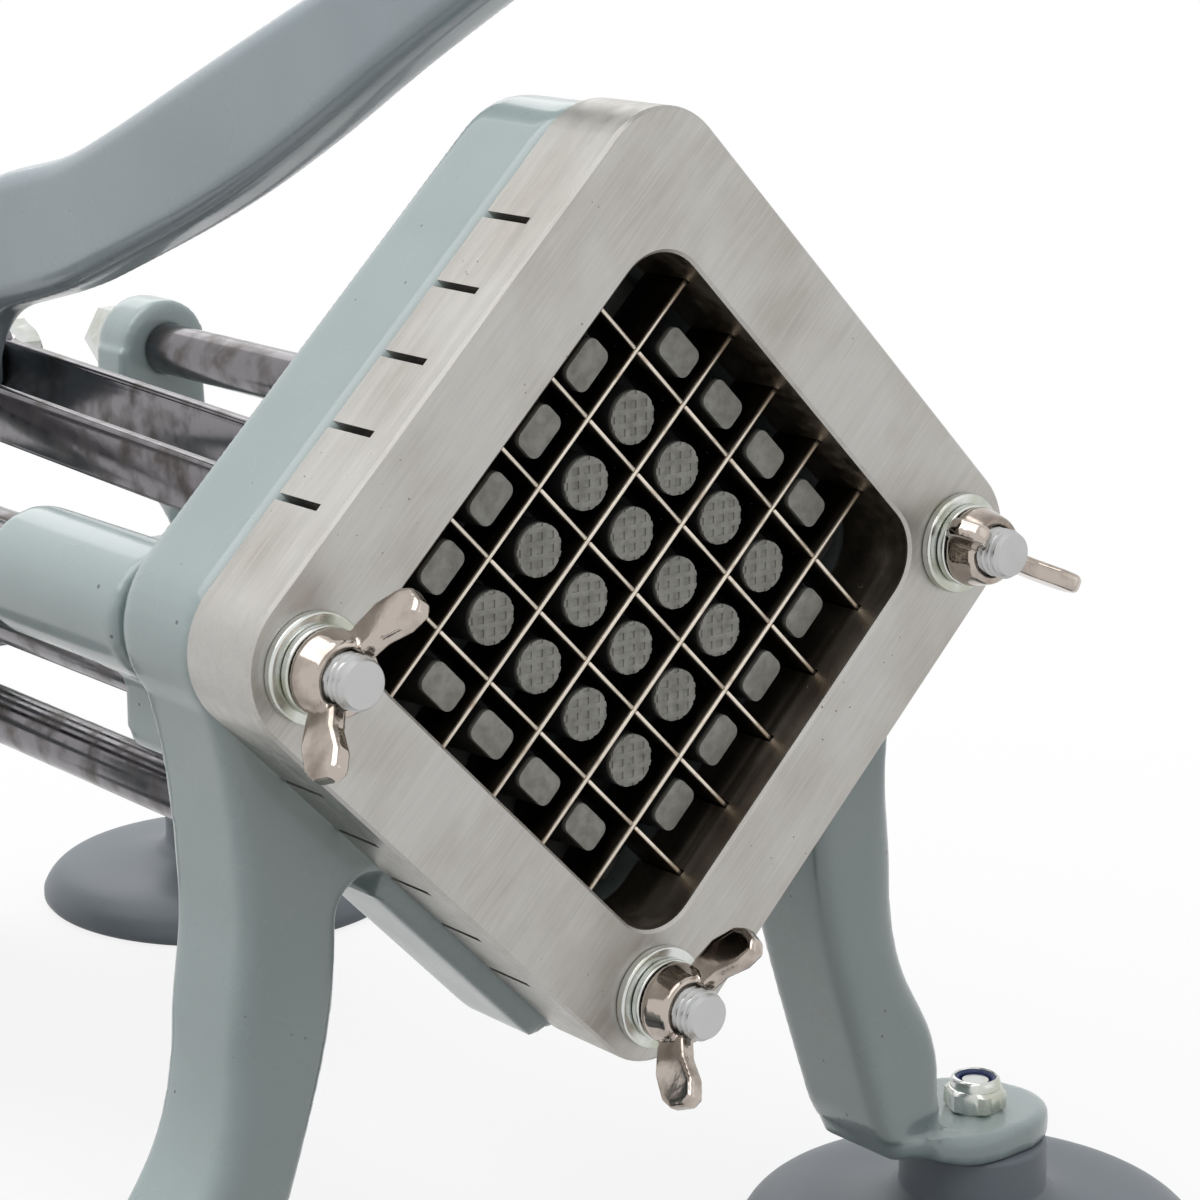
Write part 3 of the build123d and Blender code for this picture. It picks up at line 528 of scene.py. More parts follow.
def make_finishes(frame: CutterFrame) -> dict[Slot, Material]:
    """Build every finish of the cutter once.

    Args:
        frame: The cutter's frame.

    Returns:
        The material of each slot.
    """
    stud_front = frame.at(0, 1, 0).y
    finishes: list[Finish] = [
        Enamel(Slot.ENAMEL, "9aa8a7", "a2b0af"),
        Enamel(Slot.HANDLE_ENAMEL, "98a4aa", "a0acb1", wave_depth=0.012, pin_share=0.97),
        MachinedAluminium(Slot.ALUMINIUM, frame.at(0, 0, 0)),
        BladeSteel(Slot.BLADE, frame.at(0, CuttingSquare.front_y, 0).y),
        BlockCasting(Slot.CASTING, frame.at(0, PushBlock.face_y, 0).y),
        # The chrome's dark brown colour and haze are painted reflection of a dark room, mottled
        # like a haze.
        Plate(Slot.CHROME, "7d7a7e", "595452", 0.13, 0.28, bare_before=stud_front),
        Plate(Slot.ZINC, "d3d5d2", "b9bcae", 0.2, 0.34),
        Plate(Slot.NICKEL, "b8aea5", "8a7f76", 0.08, 0.2, ripple=0.03),
        Moulding(Slot.BEARING, "d6d2c8", "cbc7bc", 0.45),
        Moulding(Slot.BLUE, "1d2b57", "24356a", 0.4),
        Moulding(Slot.RUBBER, "666d74", "6f767d", 0.42, grain=0.015, shine=0.1),
    ]
    return {finish.slot: finish.material() for finish in finishes}


# ---------------------------------------------------------------- mesh tools
def new_object(name: str, bm: BMesh) -> Piece:
    """Turn a bmesh into an object in the scene.

    Args:
        name: The object's name.
        bm: The mesh, which is freed.

    Returns:
        The object.
    """
    mesh = bpy.data.meshes.new(name)
    bm.to_mesh(mesh)
    bm.free()
    thing = bpy.data.objects.new(name, mesh)
    bpy.context.scene.collection.objects.link(thing)
    return thing


def applied(thing: Piece) -> Piece:
    """Apply every modifier of an object to its mesh.

    Args:
        thing: The object.

    Returns:
        The same object with a plain mesh.
    """
    graph = bpy.context.evaluated_depsgraph_get()
    baked = bpy.data.meshes.new_from_object(thing.evaluated_get(graph))
    old = thing.data
    thing.modifiers.clear()
    thing.data = baked
    bpy.data.meshes.remove(old)
    return thing


def bevelled(thing: Piece, width: float, steps: int, angle: float) -> Piece:
    """Break the sharp edges of a piece.

    Args:
        thing: The piece in metres.
        width: Width of the broken edge in millimetres.
        steps: Faces across it.
        angle: Smallest angle in degrees of an edge that is broken.

    Returns:
        The same piece.
    """
    edge = thing.modifiers.new("edge", "BEVEL")
    edge.width = width * MM
    edge.segments = steps
    edge.limit_method = "ANGLE"
    edge.angle_limit = math.radians(angle)
    edge.harden_normals = False
    return applied(thing)


def shade_by_angle(mesh: bpy.types.Mesh, degrees: float) -> None:
    """Shade smooth, but keep edges sharper than an angle crisp.

    Args:
        mesh: The mesh.
        degrees: The angle.
    """
    bm = bmesh.new()
    bm.from_mesh(mesh)
    limit = math.radians(degrees)
    for face in bm.faces:
        face.smooth = True
    for edge in bm.edges:
        edge.smooth = len(edge.link_faces) != 2 or edge.calc_face_angle(0.0) < limit
    bm.to_mesh(mesh)
    bm.free()


def merged_copy(node: str, gap: float = 2e-6) -> BMesh:
    """Copy a CAD node's mesh with its doubles merged.

    Args:
        node: Name of the CAD node.
        gap: Largest distance between doubles in metres.

    Returns:
        The merged mesh.
    """
    bm = bmesh.new()
    bm.from_mesh(bpy.data.objects[node].data)
    bmesh.ops.remove_doubles(bm, verts=bm.verts, dist=gap)
    return bm


def lofted(
    loops: Sequence[Sequence[Vector]], closed: bool = False, capped: bool = False
) -> BMesh:
    """Lay a skin from loop to loop; a loop of one point is a tip.

    Args:
        loops: Loops of points in millimetres, all as long as each other but for the tips.
        closed: Whether the last loop joins the first, as on a ring.
        capped: Whether a face closes the first and the last loop.

    Returns:
        The skin, with its faces outwards.
    """
    bm = bmesh.new()
    rings = [[bm.verts.new(point) for point in loop] for loop in loops]
    if capped:
        bm.faces.new(rings[0])
        bm.faces.new(rings[-1][::-1])
    count = max(len(ring) for ring in rings)
    pairs = list(zip(rings, rings[1:])) + ([(rings[-1], rings[0])] if closed else [])
    for first, second in pairs:
        for step in range(count):
            after = (step + 1) % count
            corners = [first[step % len(first)], first[after % len(first)]]
            corners += [second[after % len(second)], second[step % len(second)]]
            unique = list(dict.fromkeys(corners))
            if len(unique) > 2:
                bm.faces.new(unique)
    bmesh.ops.recalc_face_normals(bm, faces=bm.faces)
    return bm


def lathe(
    rings: Profile, segments: int = 64, closed: bool = False, reach: Reach | None = None
) -> BMesh:
    """Turn rings about the Y axis.

    Args:
        rings: Radius and place along Y of each ring, and what else the reach asks for.
        segments: Faces round the axis.
        closed: Whether the rings return to their start, as on a washer.
        reach: Gives the radius from a share of the full turn and a ring's numbers.

    Returns:
        The turned solid.
    """
    loops = []
    for ring in rings:
        loop = []
        for step in range(segments if ring[0] > 1e-6 else 1):
            angle = 2 * math.pi * step / segments
            radius = reach(step / segments, *ring) if reach else ring[0]
            loop.append(Vector((radius * math.cos(angle), ring[1], radius * math.sin(angle))))
        loops.append(loop)
    return lofted(loops, closed)


def hexagon_reach(flats: float) -> Reach:
    """Reach that cuts a turned shape to a hexagon bar.

    Args:
        flats: Width across flats in millimetres.

    Returns:
        The reach for lathe.
    """

    def reach(turn: float, radius: float, along: float) -> float:
        """Radius of the bar at a share of the full turn."""
        within = (2 * math.pi * turn + math.pi / 6) % (math.pi / 3) - math.pi / 6
        return min(radius, flats / 2 / math.cos(within))

    return reach


def thread_reach(pitch: float) -> Reach:
    """Reach that cuts a screw thread to the depth which each ring gives.

    Args:
        pitch: Thread pitch in millimetres.

    Returns:
        The reach for lathe.
    """

    def reach(turn: float, radius: float, along: float, depth: float) -> float:
        """Radius of the thread at a share of the full turn.

        Args:
            turn: Share of the full turn.
            radius: The ring's outer radius.
            along: The ring's place along Y.
            depth: The thread's depth at the ring.

        Returns:
            The radius.
        """
        phase = (along / pitch - turn) % 1.0
        groove = min(1.0, max(0.0, 1.35 * (1 - abs(2 * phase - 1)) - 0.15))
        return radius - depth * groove

    return reach


def thread_rings(
    radius: float, pitch: float, start: float, end: float, runout: float
) -> list[tuple[float, float, float]]:
    """Rings of a threaded length.

    Args:
        radius: Outer radius of the thread.
        pitch: Thread pitch.
        start: First place along the axis.
        end: Last place along the axis.
        runout: Length over which the thread dies out at the end.

    Returns:
        Radius, place and thread depth of each ring.
    """
    count = max(2, int((end - start) / (pitch / 8)))
    rings = []
    for index in range(count + 1):
        along = start + (end - start) * index / count
        fade = min(1.0, (end - along) / runout)
        rings.append((radius, along, 0.54 * pitch * max(0.0, fade)))
    return rings


def mirrored(rings: Profile) -> list[tuple[float, ...]]:
    """Rings in reverse order on the other side of zero, for a thread that starts at the rear."""
    return [(ring[0], -ring[1], *ring[2:]) for ring in reversed(rings)]


def turned(bm: BMesh, turn: Sequence[float], move: Sequence[float]) -> BMesh:
    """Turn and then move a mesh in millimetres.

    Args:
        bm: The mesh.
        turn: Degrees about X, Y and Z.
        move: Millimetres along X, Y and Z.

    Returns:
        The same mesh.
    """
    matrix = Euler([math.radians(angle) for angle in turn]).to_matrix().to_4x4()
    bm.transform(Matrix.Translation(Vector(move)) @ matrix)
    return bm


def joined(parts: Iterable[BMesh]) -> BMesh:
    """Put several meshes into one and free them.

    Args:
        parts: The meshes.

    Returns:
        The mesh that holds them all.
    """
    whole = bmesh.new()
    for part in parts:
        scratch = bpy.data.meshes.new("scratch")
        part.to_mesh(scratch)
        part.free()
        whole.from_mesh(scratch)
        bpy.data.meshes.remove(scratch)
    return whole


def rounded(corners: Profile, radius: float, steps: int = 4) -> list[tuple[float, ...]]:
    """Round the corners of an open profile, keeping its ends.

    Args:
        corners: The profile's corners in millimetres.
        radius: Rounding radius, made smaller where a run is short.
        steps: Pieces of each rounding.

    Returns:
        The rounded profile.
    """
    points = [Vector(corner) for corner in corners]
    result = [tuple(points[0])]
    for before, corner, after in zip(points, points[1:], points[2:]):
        into, out = before - corner, after - corner
        reach = min(radius, into.length / 2.05, out.length / 2.05)
        start, end = corner + into.normalized() * reach, corner + out.normalized() * reach
        for step in range(steps + 1):
            share = step / steps
            result.append(tuple(start.lerp(corner, share).lerp(corner.lerp(end, share), share)))
    result.append(tuple(points[-1]))
    return result


def bend(
    start: Sequence[float],
    way_out: Sequence[float],
    end: Sequence[float],
    way_in: Sequence[float],
    steps: int = 28,
) -> list[tuple[float, ...]]:
    """Points along one smooth bend between two places.

    Args:
        start: First point.
        way_out: Direction at the start.
        end: Last point.
        way_in: Direction at the end.
        steps: Pieces of the bend.

    Returns:
        The points.
    """
    first, last = Vector(start), Vector(end)
    pull = (last - first).length * 0.38
    one = first + Vector(way_out).normalized() * pull
    two = last - Vector(way_in).normalized() * pull
    points = []
    for step in range(steps + 1):
        t = step / steps
        s = 1 - t
        points.append(tuple(first * s**3 + one * 3 * s * s * t + two * 3 * s * t * t + last * t**3))
    return points


def ramp(value: float, start: float, end: float) -> float:
    """Soft step from zero at the start to one at the end."""
    share = min(1.0, max(0.0, (value - start) / (end - start)))
    return share * share * (3 - 2 * share)


# ---------------------------------------------------------------- workshop
@dataclass
class Workshop:
    """Holds the frame and finishes, and places each piece on its body."""

    frame: CutterFrame
    finishes: dict[Slot, Material]
    skin_grid: float = 1.0

    def dress(self, node: str, slot: Slot) -> None:
        """Give a piece, or a CAD node that keeps its shape, its finish.

        Args:
            node: The object's name.
            slot: Its finish.
        """
        thing = bpy.data.objects[node]
        thing.data.materials.clear()
        thing.data.materials.append(self.finishes[slot])
        LOG.info("%s: %s, %d faces", node, slot.value, len(thing.data.polygons))

    def place(
        self, thing: Piece, body: Body, slot: Slot, stands_for: Sequence[str], crease: float
    ) -> None:
        """Finish a piece and put it on its body.

        Args:
            thing: The piece in the row frame.
            body: The body that it rides on.
            slot: Its finish.
            stands_for: CAD nodes that it replaces.
            crease: Angle in degrees above which an edge stays crisp.
        """
        shade_by_angle(thing.data, crease)
        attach(thing, body.value)
        self.dress(thing.name, slot)
        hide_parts(*stands_for)

    def piece(
        self,
        name: str,
        bm: BMesh,
        body: Body,
        slot: Slot,
        stands_for: Sequence[str],
        crease: float,
        bevel: tuple[float, int, float] | None = None,
    ) -> None:
        """Place a mesh drawn in cutter millimetres.

        Args:
            name: The piece's name.
            bm: The mesh.
            body: The body that it rides on.
            slot: Its finish.
            stands_for: CAD nodes that it replaces.
            crease: Angle in degrees above which an edge stays crisp.
            bevel: Width, faces and smallest angle of its broken edges; see bevelled.
        """
        self.frame.move(bm)
        thing = new_object(name, bm)
        if bevel:
            bevelled(thing, *bevel)
        self.place(thing, body, slot, stands_for, crease)

    def cast_skin(
        self, name: str, node: str, body: Body, slot: Slot, passes: int, shift: Shift | None
    ) -> None:
        """Cover a cast shape with the soft continuous skin of thick enamel.

        Args:
            name: The piece's name.
            node: The CAD node that it covers.
            body: The body that it rides on.
            slot: Its finish.
            passes: Smoothing passes, which round the edges.
            shift: Gives the millimetres by which a point of the skin moves, from its place in
                cutter millimetres and its normal.
        """
        thing = new_object(name, merged_copy(node))
        remesh = thing.modifiers.new("skin", "REMESH")
        remesh.mode = "VOXEL"
        remesh.voxel_size = self.skin_grid * MM
        smooth = thing.modifiers.new("flow", "SMOOTH")
        smooth.factor = 0.5
        smooth.iterations = passes
        applied(thing)
        if shift is not None:
            zero = self.frame.at(0, 0, 0)
            normals = [vert.normal.copy() for vert in thing.data.vertices]
            for vert, normal in zip(thing.data.vertices, normals):
                vert.co += shift((vert.co - zero) / MM, normal) * MM
        self.place(thing, body, slot, [node], 80)


# ---------------------------------------------------------------- Geometry Nodes
class Recipe(Sketch):
    """Geometry Nodes tree with named sizes, drawn in millimetres."""

    def __init__(self, name: str, sizes: dict[str, float | int]) -> None:
        """Open a tree.

        Args:
            name: The tree's name.
            sizes: Named inputs with their values.
        """
        super().__init__(bpy.data.node_groups.new(name, "GeometryNodeTree"), "GeometryNode")
        sockets = self.tree.interface
        self.values: dict[str, float | int] = {}
        for label, value in sizes.items():
            kind = "NodeSocketInt" if isinstance(value, int) else "NodeSocketFloat"
            socket = sockets.new_socket(label, in_out="INPUT", socket_type=kind)
            self.values[socket.identifier] = value
        sockets.new_socket("Geometry", in_out="OUTPUT", socket_type="NodeSocketGeometry")
        self.size = self.add("NodeGroupInput").node.outputs

    def grown(self, geometry: Socket, material: Material) -> BMesh:
        """Close the tree and evaluate it.

        Args:
            geometry: The tree's last geometry.
            material: The finish that Set Material gives.

        Returns:
            The mesh in millimetres.
        """
        real = self.add("RealizeInstances", {"Geometry": geometry})
        finished = self.add("SetMaterial", {"Geometry": real, "Material": material})
        self.add("NodeGroupOutput", {"Geometry": finished})
        thing = new_object(f"{self.tree.name}_seed", bmesh.new())
        modifier = thing.modifiers.new(self.tree.name, "NODES")
        modifier.node_group = self.tree
        for identifier, value in self.values.items():
            modifier[identifier] = value
        mesh = applied(thing).data
        bm = bmesh.new()
        bm.from_mesh(mesh)
        bpy.data.objects.remove(thing)
        bpy.data.meshes.remove(mesh)
        bmesh.ops.remove_doubles(bm, verts=bm.verts, dist=1e-4)
        return bm


# ---------------------------------------------------------------- cutting square
@dataclass
class CuttingSquare:
    """Machined square that stands on its corner, with ten half-lapped blades."""

    shop: Workshop
    blades: int = 5
    pitch: float = 13.2
    thickness: float = 0.62
    length: float = 104.0
    front_y: float = 5.7
    rear_y: float = 15.4
    lap_gap: float = 0.15

    def build(self) -> None:
        """Dress the square and lay its blades."""
        self.shop.dress("blade_frame", Slot.ALUMINIUM)
        middle = (self.front_y + self.rear_y) / 2
        laps = {
            "rising": (-45.0, middle - self.lap_gap, self.rear_y + 1),
            "falling": (45.0, self.front_y - 1, middle + self.lap_gap),
        }
        for side, (turn, front, rear) in laps.items():
            name = f"{side}_blades"
            bm = turned(self.blade_set(name, front, rear), (0, turn, 0), (0, 0, 0))
            nodes = [f"{side}_blade_{number}" for number in range(1, self.blades + 1)]
            self.shop.piece(name, bm, Body.BASE, Slot.BLADE, nodes, 50, (0.14, 1, 60))

    def blade_set(self, name: str, lap_front: float, lap_rear: float) -> BMesh:
        """Parallel blades along X, each cut where the others cross.

        Args:
            name: Name of the set.
            lap_front: Front of the cuts.
            lap_rear: Rear of the cuts.

        Returns:
            The blades.
        """
        sizes: dict[str, float | int] = {
            "Blades": self.blades,
            "Pitch": self.pitch,
            "Length": self.length,
            "Thickness": self.thickness,
            "Front": self.front_y,
            "Rear": self.rear_y,
            "Lap front": lap_front,
            "Lap rear": lap_rear,
            "Lap width": self.thickness + 2 * self.lap_gap,
        }
        recipe = Recipe(name, sizes)
        size = recipe.size
        half: Inputs = {0: size["Pitch"], 1: (1 - self.blades) / 2}
        first = recipe.add("ShaderNodeMath", half, operation="MULTIPLY")

        def slab(width: Socket, height: float | Socket, front: Socket, rear: Socket) -> Socket:
            """Box between a front and a rear.

            Args:
                width: Its size along X.
                height: Its size along Z.
                front: Y of its front.
                rear: Y of its rear.

            Returns:
                The box.
            """
            depth = recipe.add("ShaderNodeMath", {0: rear, 1: front}, operation="SUBTRACT")
            both = recipe.add("ShaderNodeMath", {0: rear, 1: front}, operation="ADD")
            centre = recipe.add("ShaderNodeMath", {0: both, 1: 0.5}, operation="MULTIPLY")
            extent = recipe.add("ShaderNodeCombineXYZ", {0: width, 1: depth, 2: height})
            cube = recipe.add("MeshCube", {"Size": extent})
            move = recipe.add("ShaderNodeCombineXYZ", {1: centre})
            return recipe.add("Transform", {0: cube, "Translation": move})

        def row(item: Socket, axis: int) -> Socket:
            """Copies of an item in a row about the middle.

            Args:
                item: The item.
                axis: The row's axis, 0 for X and 2 for Z.

            Returns:
                The copies.
            """
            start = recipe.add("ShaderNodeCombineXYZ", {axis: first})
            step = recipe.add("ShaderNodeCombineXYZ", {axis: size["Pitch"]})
            places: Inputs = {"Count": size["Blades"], "Start Location": start, "Offset": step}
            line = recipe.add("MeshLine", places)
            return recipe.add("InstanceOnPoints", {"Points": line, "Instance": item})

        strip = slab(size["Length"], size["Thickness"], size["Front"], size["Rear"])
        cut = slab(size["Lap width"], 3.0, size["Lap front"], size["Lap rear"])
        cuts = recipe.add("RealizeInstances", {0: row(cut, 0)})
        pair: Inputs = {"Mesh 1": strip, "Mesh 2": cuts}
        blade = recipe.add("MeshBoolean", pair, operation="DIFFERENCE")
        return recipe.grown(row(blade, 2), self.shop.finishes[Slot.BLADE])


# ---------------------------------------------------------------- push block
@dataclass
class PushBlock:
    """Bare block whose pins push the potato through the blade cells."""

    shop: Workshop
    pitch: float = 12.7
    face_y: float = 6.6
    root_y: float = 18.9
    pin_radius: float = 4.7
    pin_face_radius: float = 4.15
    dimple: float = 1.2
    dimple_pitch: float = 2.1
    dimple_depth: float = 0.22
    edge_pin: tuple[float, float, float] = (9.2, 6.2, 1.8)
    corner_pin: tuple[float, float, float] = (5.6, 5.6, 0.8)
    corner_face_y: float = 13.0
    draft: float = 0.84
    plate_side: float = 77.0
    plate_round: float = 7.0
    plate_front: float = 18.5
    plate_rear: float = 36.3

    def build(self) -> None:
        """Build the plate, the waffled round pins and the plain pins of the border."""
        parts = [
            self.plate(),
            self.waffle_pins(),
            self.side_pins("edge_pins", 4, -1.5, self.edge_pin, self.face_y),
            self.side_pins("corner_pins", 1, -2.5, self.corner_pin, self.corner_face_y),
        ]
        body, nodes = joined(parts), ["push_block"]
        bevel = (0.16, 2, 50)
        self.shop.piece("push_block_pins", body, Body.PUSHER, Slot.CASTING, nodes, 40, bevel)

    def plate(self) -> BMesh:
        """Square plate on its corner, with rounded corners.

        Returns:
            The plate.
        """
        outline = []
        for quadrant in range(4):
            base = math.pi / 2 * quadrant
            centre = Vector(((self.plate_side / 2 - self.plate_round) * math.sqrt(2), 0))
            centre.rotate(Matrix.Rotation(base, 2))
            for step in range(9):
                angle = base - math.pi / 4 + math.pi / 2 * step / 8
                x = centre.x + self.plate_round * math.cos(angle)
                outline.append((x, centre.y + self.plate_round * math.sin(angle)))
        sides = (self.plate_front, self.plate_rear)
        return lofted([[Vector((x, y, z)) for x, z in outline] for y in sides], capped=True)

    def waffle_pins(self) -> BMesh:
        """Round pins in four rows of four, their faces pressed with small squares.

        Returns:
            The pins.
        """
        sizes: dict[str, float | int] = {
            "Rows": 4,
            "Pitch": self.pitch,
            "Root radius": self.pin_radius,
            "Face radius": self.pin_face_radius,
            "Face": self.face_y,
            "Root": self.root_y,
            "Dimple": self.dimple,
            "Dimple pitch": self.dimple_pitch,
            "Dimple depth": self.dimple_depth,
        }
        recipe = Recipe("waffle_pins", sizes)
        size = recipe.size
        quarter = (math.pi / 2, 0, 0)

        def square_grid(count: int | Socket, pitch: Socket, turn: float) -> Socket:
            """Points in a square field that faces the front.

            Args:
                count: Points on each side.
                pitch: Distance between neighbours.
                turn: Turn about Y in radians.

            Returns:
                The points.
            """
            gaps = recipe.add("ShaderNodeMath", {0: count, 1: 1}, operation="SUBTRACT")
            side = recipe.add("ShaderNodeMath", {0: pitch, 1: gaps}, operation="MULTIPLY")
            field: Inputs = {"Size X": side, "Size Y": side}
            grid = recipe.add("MeshGrid", {**field, "Vertices X": count, "Vertices Y": count})
            upright = recipe.add("Transform", {0: grid, "Rotation": quarter})
            return recipe.add("Transform", {0: upright, "Rotation": (0, turn, 0)})

        span: Inputs = {0: size["Root"], 1: size["Face"]}
        depth = recipe.add("ShaderNodeMath", span, operation="SUBTRACT")
        radii: Inputs = {"Radius Top": size["Face radius"], "Radius Bottom": size["Root radius"]}
        cone = recipe.add("MeshCone", {"Vertices": 48, **radii, "Depth": depth})
        root = recipe.add("ShaderNodeCombineXYZ", {1: size["Root"]})
        pin = recipe.add("Transform", {0: cone, "Translation": root, "Rotation": quarter})
        twice: Inputs = {0: size["Dimple depth"], 1: 2}
        deep = recipe.add("ShaderNodeMath", twice, operation="MULTIPLY")
        stamp: Inputs = {0: size["Dimple"], 1: deep, 2: size["Dimple"]}
        press = recipe.add("MeshCube", {"Size": recipe.add("ShaderNodeCombineXYZ", stamp)})
        field = square_grid(5, size["Dimple pitch"], 0)
        presses = recipe.add("InstanceOnPoints", {"Points": field, "Instance": press})
        real = recipe.add("RealizeInstances", {0: presses})
        face = recipe.add("ShaderNodeCombineXYZ", {1: size["Face"]})
        placed = recipe.add("Transform", {0: real, "Translation": face})
        pair: Inputs = {"Mesh 1": pin, "Mesh 2": placed}
        pressed = recipe.add("MeshBoolean", pair, operation="DIFFERENCE")
        rows = square_grid(size["Rows"], size["Pitch"], math.pi / 4)
        pins = recipe.add("InstanceOnPoints", {"Points": rows, "Instance": pressed})
        return recipe.grown(pins, self.shop.finishes[Slot.CASTING])

    def side_pins(
        self, name: str, count: int, start: float, section: Sequence[float], face_y: float
    ) -> BMesh:
        """Plain pins along the four sides of the field.

        Args:
            name: The pins' name.
            count: Pins on each side.
            start: Pitches from the middle of a side to its first pin.
            section: A pin's size along the side and across it, and its corner radius.
            face_y: Y of the pins' faces.

        Returns:
            The pins.
        """
        sizes: dict[str, float | int] = {
            "Count": count,
            "Pitch": self.pitch,
            "Length": section[0],
            "Width": section[1],
            "Corner": section[2],
            "Face": face_y,
            "Root": self.root_y,
            "Draft": self.draft,
            "Start": start,
            "Away": 2.5,
        }
        recipe = Recipe(name, sizes)
        size = recipe.size
        rectangle: Inputs = {"Width": size["Length"], "Height": size["Width"]}
        outline = recipe.add("CurvePrimitiveQuadrilateral", rectangle)
        fillet: Inputs = {0: outline, "Radius": size["Corner"], "Count": 5, "Limit Radius": True}
        filleted = recipe.add("FilletCurve", fillet, mode="POLY")
        face, root = (
            recipe.add("ShaderNodeCombineXYZ", {1: size[end]}) for end in ("Face", "Root")
        )
        path = recipe.add("CurvePrimitiveLine", {"Start": face, "End": root})
        # The path has two points, so the index runs from zero at the face to one at the root.
        index = recipe.add("InputIndex")
        growth = recipe.add("ShaderNodeMath", {0: 1, 1: size["Draft"]}, operation="SUBTRACT")
        widening: Inputs = {0: growth, 1: index, 2: size["Draft"]}
        scale = recipe.add("ShaderNodeMath", widening, operation="MULTIPLY_ADD")
        sweep: Inputs = {"Curve": path, "Profile Curve": filleted, "Scale": scale}
        pin = recipe.add("CurveToMesh", {**sweep, "Fill Caps": True})
        first, away = (
            recipe.add("ShaderNodeMath", {0: size["Pitch"], 1: size[key]}, operation="MULTIPLY")
            for key in ("Start", "Away")
        )
        start_place = recipe.add("ShaderNodeCombineXYZ", {0: first, 2: away})
        step = recipe.add("ShaderNodeCombineXYZ", {0: size["Pitch"]})
        places: Inputs = {"Count": size["Count"], "Start Location": start_place, "Offset": step}
        line = recipe.add("MeshLine", places)
        row = recipe.add("InstanceOnPoints", {"Points": line, "Instance": pin})
        corners: Inputs = {0: index, 1: math.pi / 2, 2: math.pi / 4}
        angle = recipe.add("ShaderNodeMath", corners, operation="MULTIPLY_ADD")
        turn = recipe.add("ShaderNodeCombineXYZ", {1: angle})
        four = recipe.add("Points", {"Count": 4})
        sides = recipe.add("InstanceOnPoints", {"Points": four, "Instance": row, "Rotation": turn})
        bm = recipe.grown(sides, self.shop.finishes[Slot.CASTING])
        bmesh.ops.recalc_face_normals(bm, faces=bm.faces)
        return bm


# ---------------------------------------------------------------- castings
@dataclass
class Castings:
    """The enamelled castings, each one soft continuous skin over its CAD shape.

    The lengths say by how many millimetres a part of a casting is fuller, hollower, higher or
    lower than its CAD shape, and the slopes by what share of the way from the foot's middle.
    """

    shop: Workshop
    passes: int = 3
    foot_x: float = 97.0
    foot_y: float = 24.0
    leg_fuller: float = 2.6
    leg_inside: float = 0.3
    hollow: float = 1.5
    front_hollow: float = 4.0
    heel_lift: float = 4.5
    tab_front_slope: float = 0.31
    tab_end_slope: float = 0.11
    ring_fuller: float = 3.4
    lug_drop: float = 3.0

    def build(self) -> None:
        """Cover the front casting, the rear casting and the carriage."""
        skins = {
            "front_casting": ("front_frame", Body.BASE, self.front_shift),
            "rear_casting": ("rear_frame", Body.BASE, None),
            "carriage_casting": ("pusher_carriage", Body.PUSHER, self.lug_shift),
        }
        for name, (node, body, shift) in skins.items():
            self.shop.cast_skin(name, node, body, Slot.ENAMEL, self.passes, shift)

    def front_shift(self, place: Vector, normal: Vector) -> Vector:
        """Flesh out the front legs, lift their heels and round their foot tabs.

        Args:
            place: Point in cutter millimetres.
            normal: Its normal.

        Returns:
            The move in millimetres.
        """
        side = 1 if place.x > 0 else -1
        reach, depth = abs(place.x), -place.z
        out = normal.x * side
        leg = ramp(depth, 40, 62) * ramp(reach, 40, 44) * (1 - ramp(reach, 84, 92))
        fuller = self.leg_fuller * (1 - ramp(depth, 84, 98)) if out > 0 else self.leg_inside
        # Just above the foot tab the leg's end draws in, most of all on its front.
        above = (1 - ramp(depth, 114.2, 115.2)) * ramp(reach, 64, 84) * ramp(depth, 84, 110)
        hollow = (self.hollow + self.front_hollow * (1 - ramp(place.y, 14, 34))) * above
        heel = ramp(depth, 106, 121) * (1 - ramp(reach, 68, 88))
        tab = ramp(reach, 70, 98) * ramp(depth, 108, 113)
        back = self.tab_front_slope * max(0.0, self.foot_y - place.y) * tab
        inwards = hollow + self.tab_end_slope * max(0.0, reach - self.foot_x) * tab
        under = ramp(out, 0.4, 0.6) * ramp(-normal.z, 0.4, 0.6) * (1 - ramp(reach, 46, 56))
        ring = self.ring_fuller * under * ramp(reach + depth, 66, 72) * 0.7
        x = out * fuller * leg - inwards + ring
        return Vector((side * x, back, self.heel_lift * heel - ring))

    def lug_shift(self, place: Vector, normal: Vector) -> Vector:
        """Draw the carriage's side lugs down a little.

        Args:
            place: Point in cutter millimetres.
            normal: Its normal; not used.

        Returns:
            The move in millimetres.
        """
        lug = ramp(abs(place.x), 50, 56) * ramp(-place.z, 8, 16) * (1 - ramp(place.y, 48, 50))
        return Vector((0, 0, -self.lug_drop * lug))


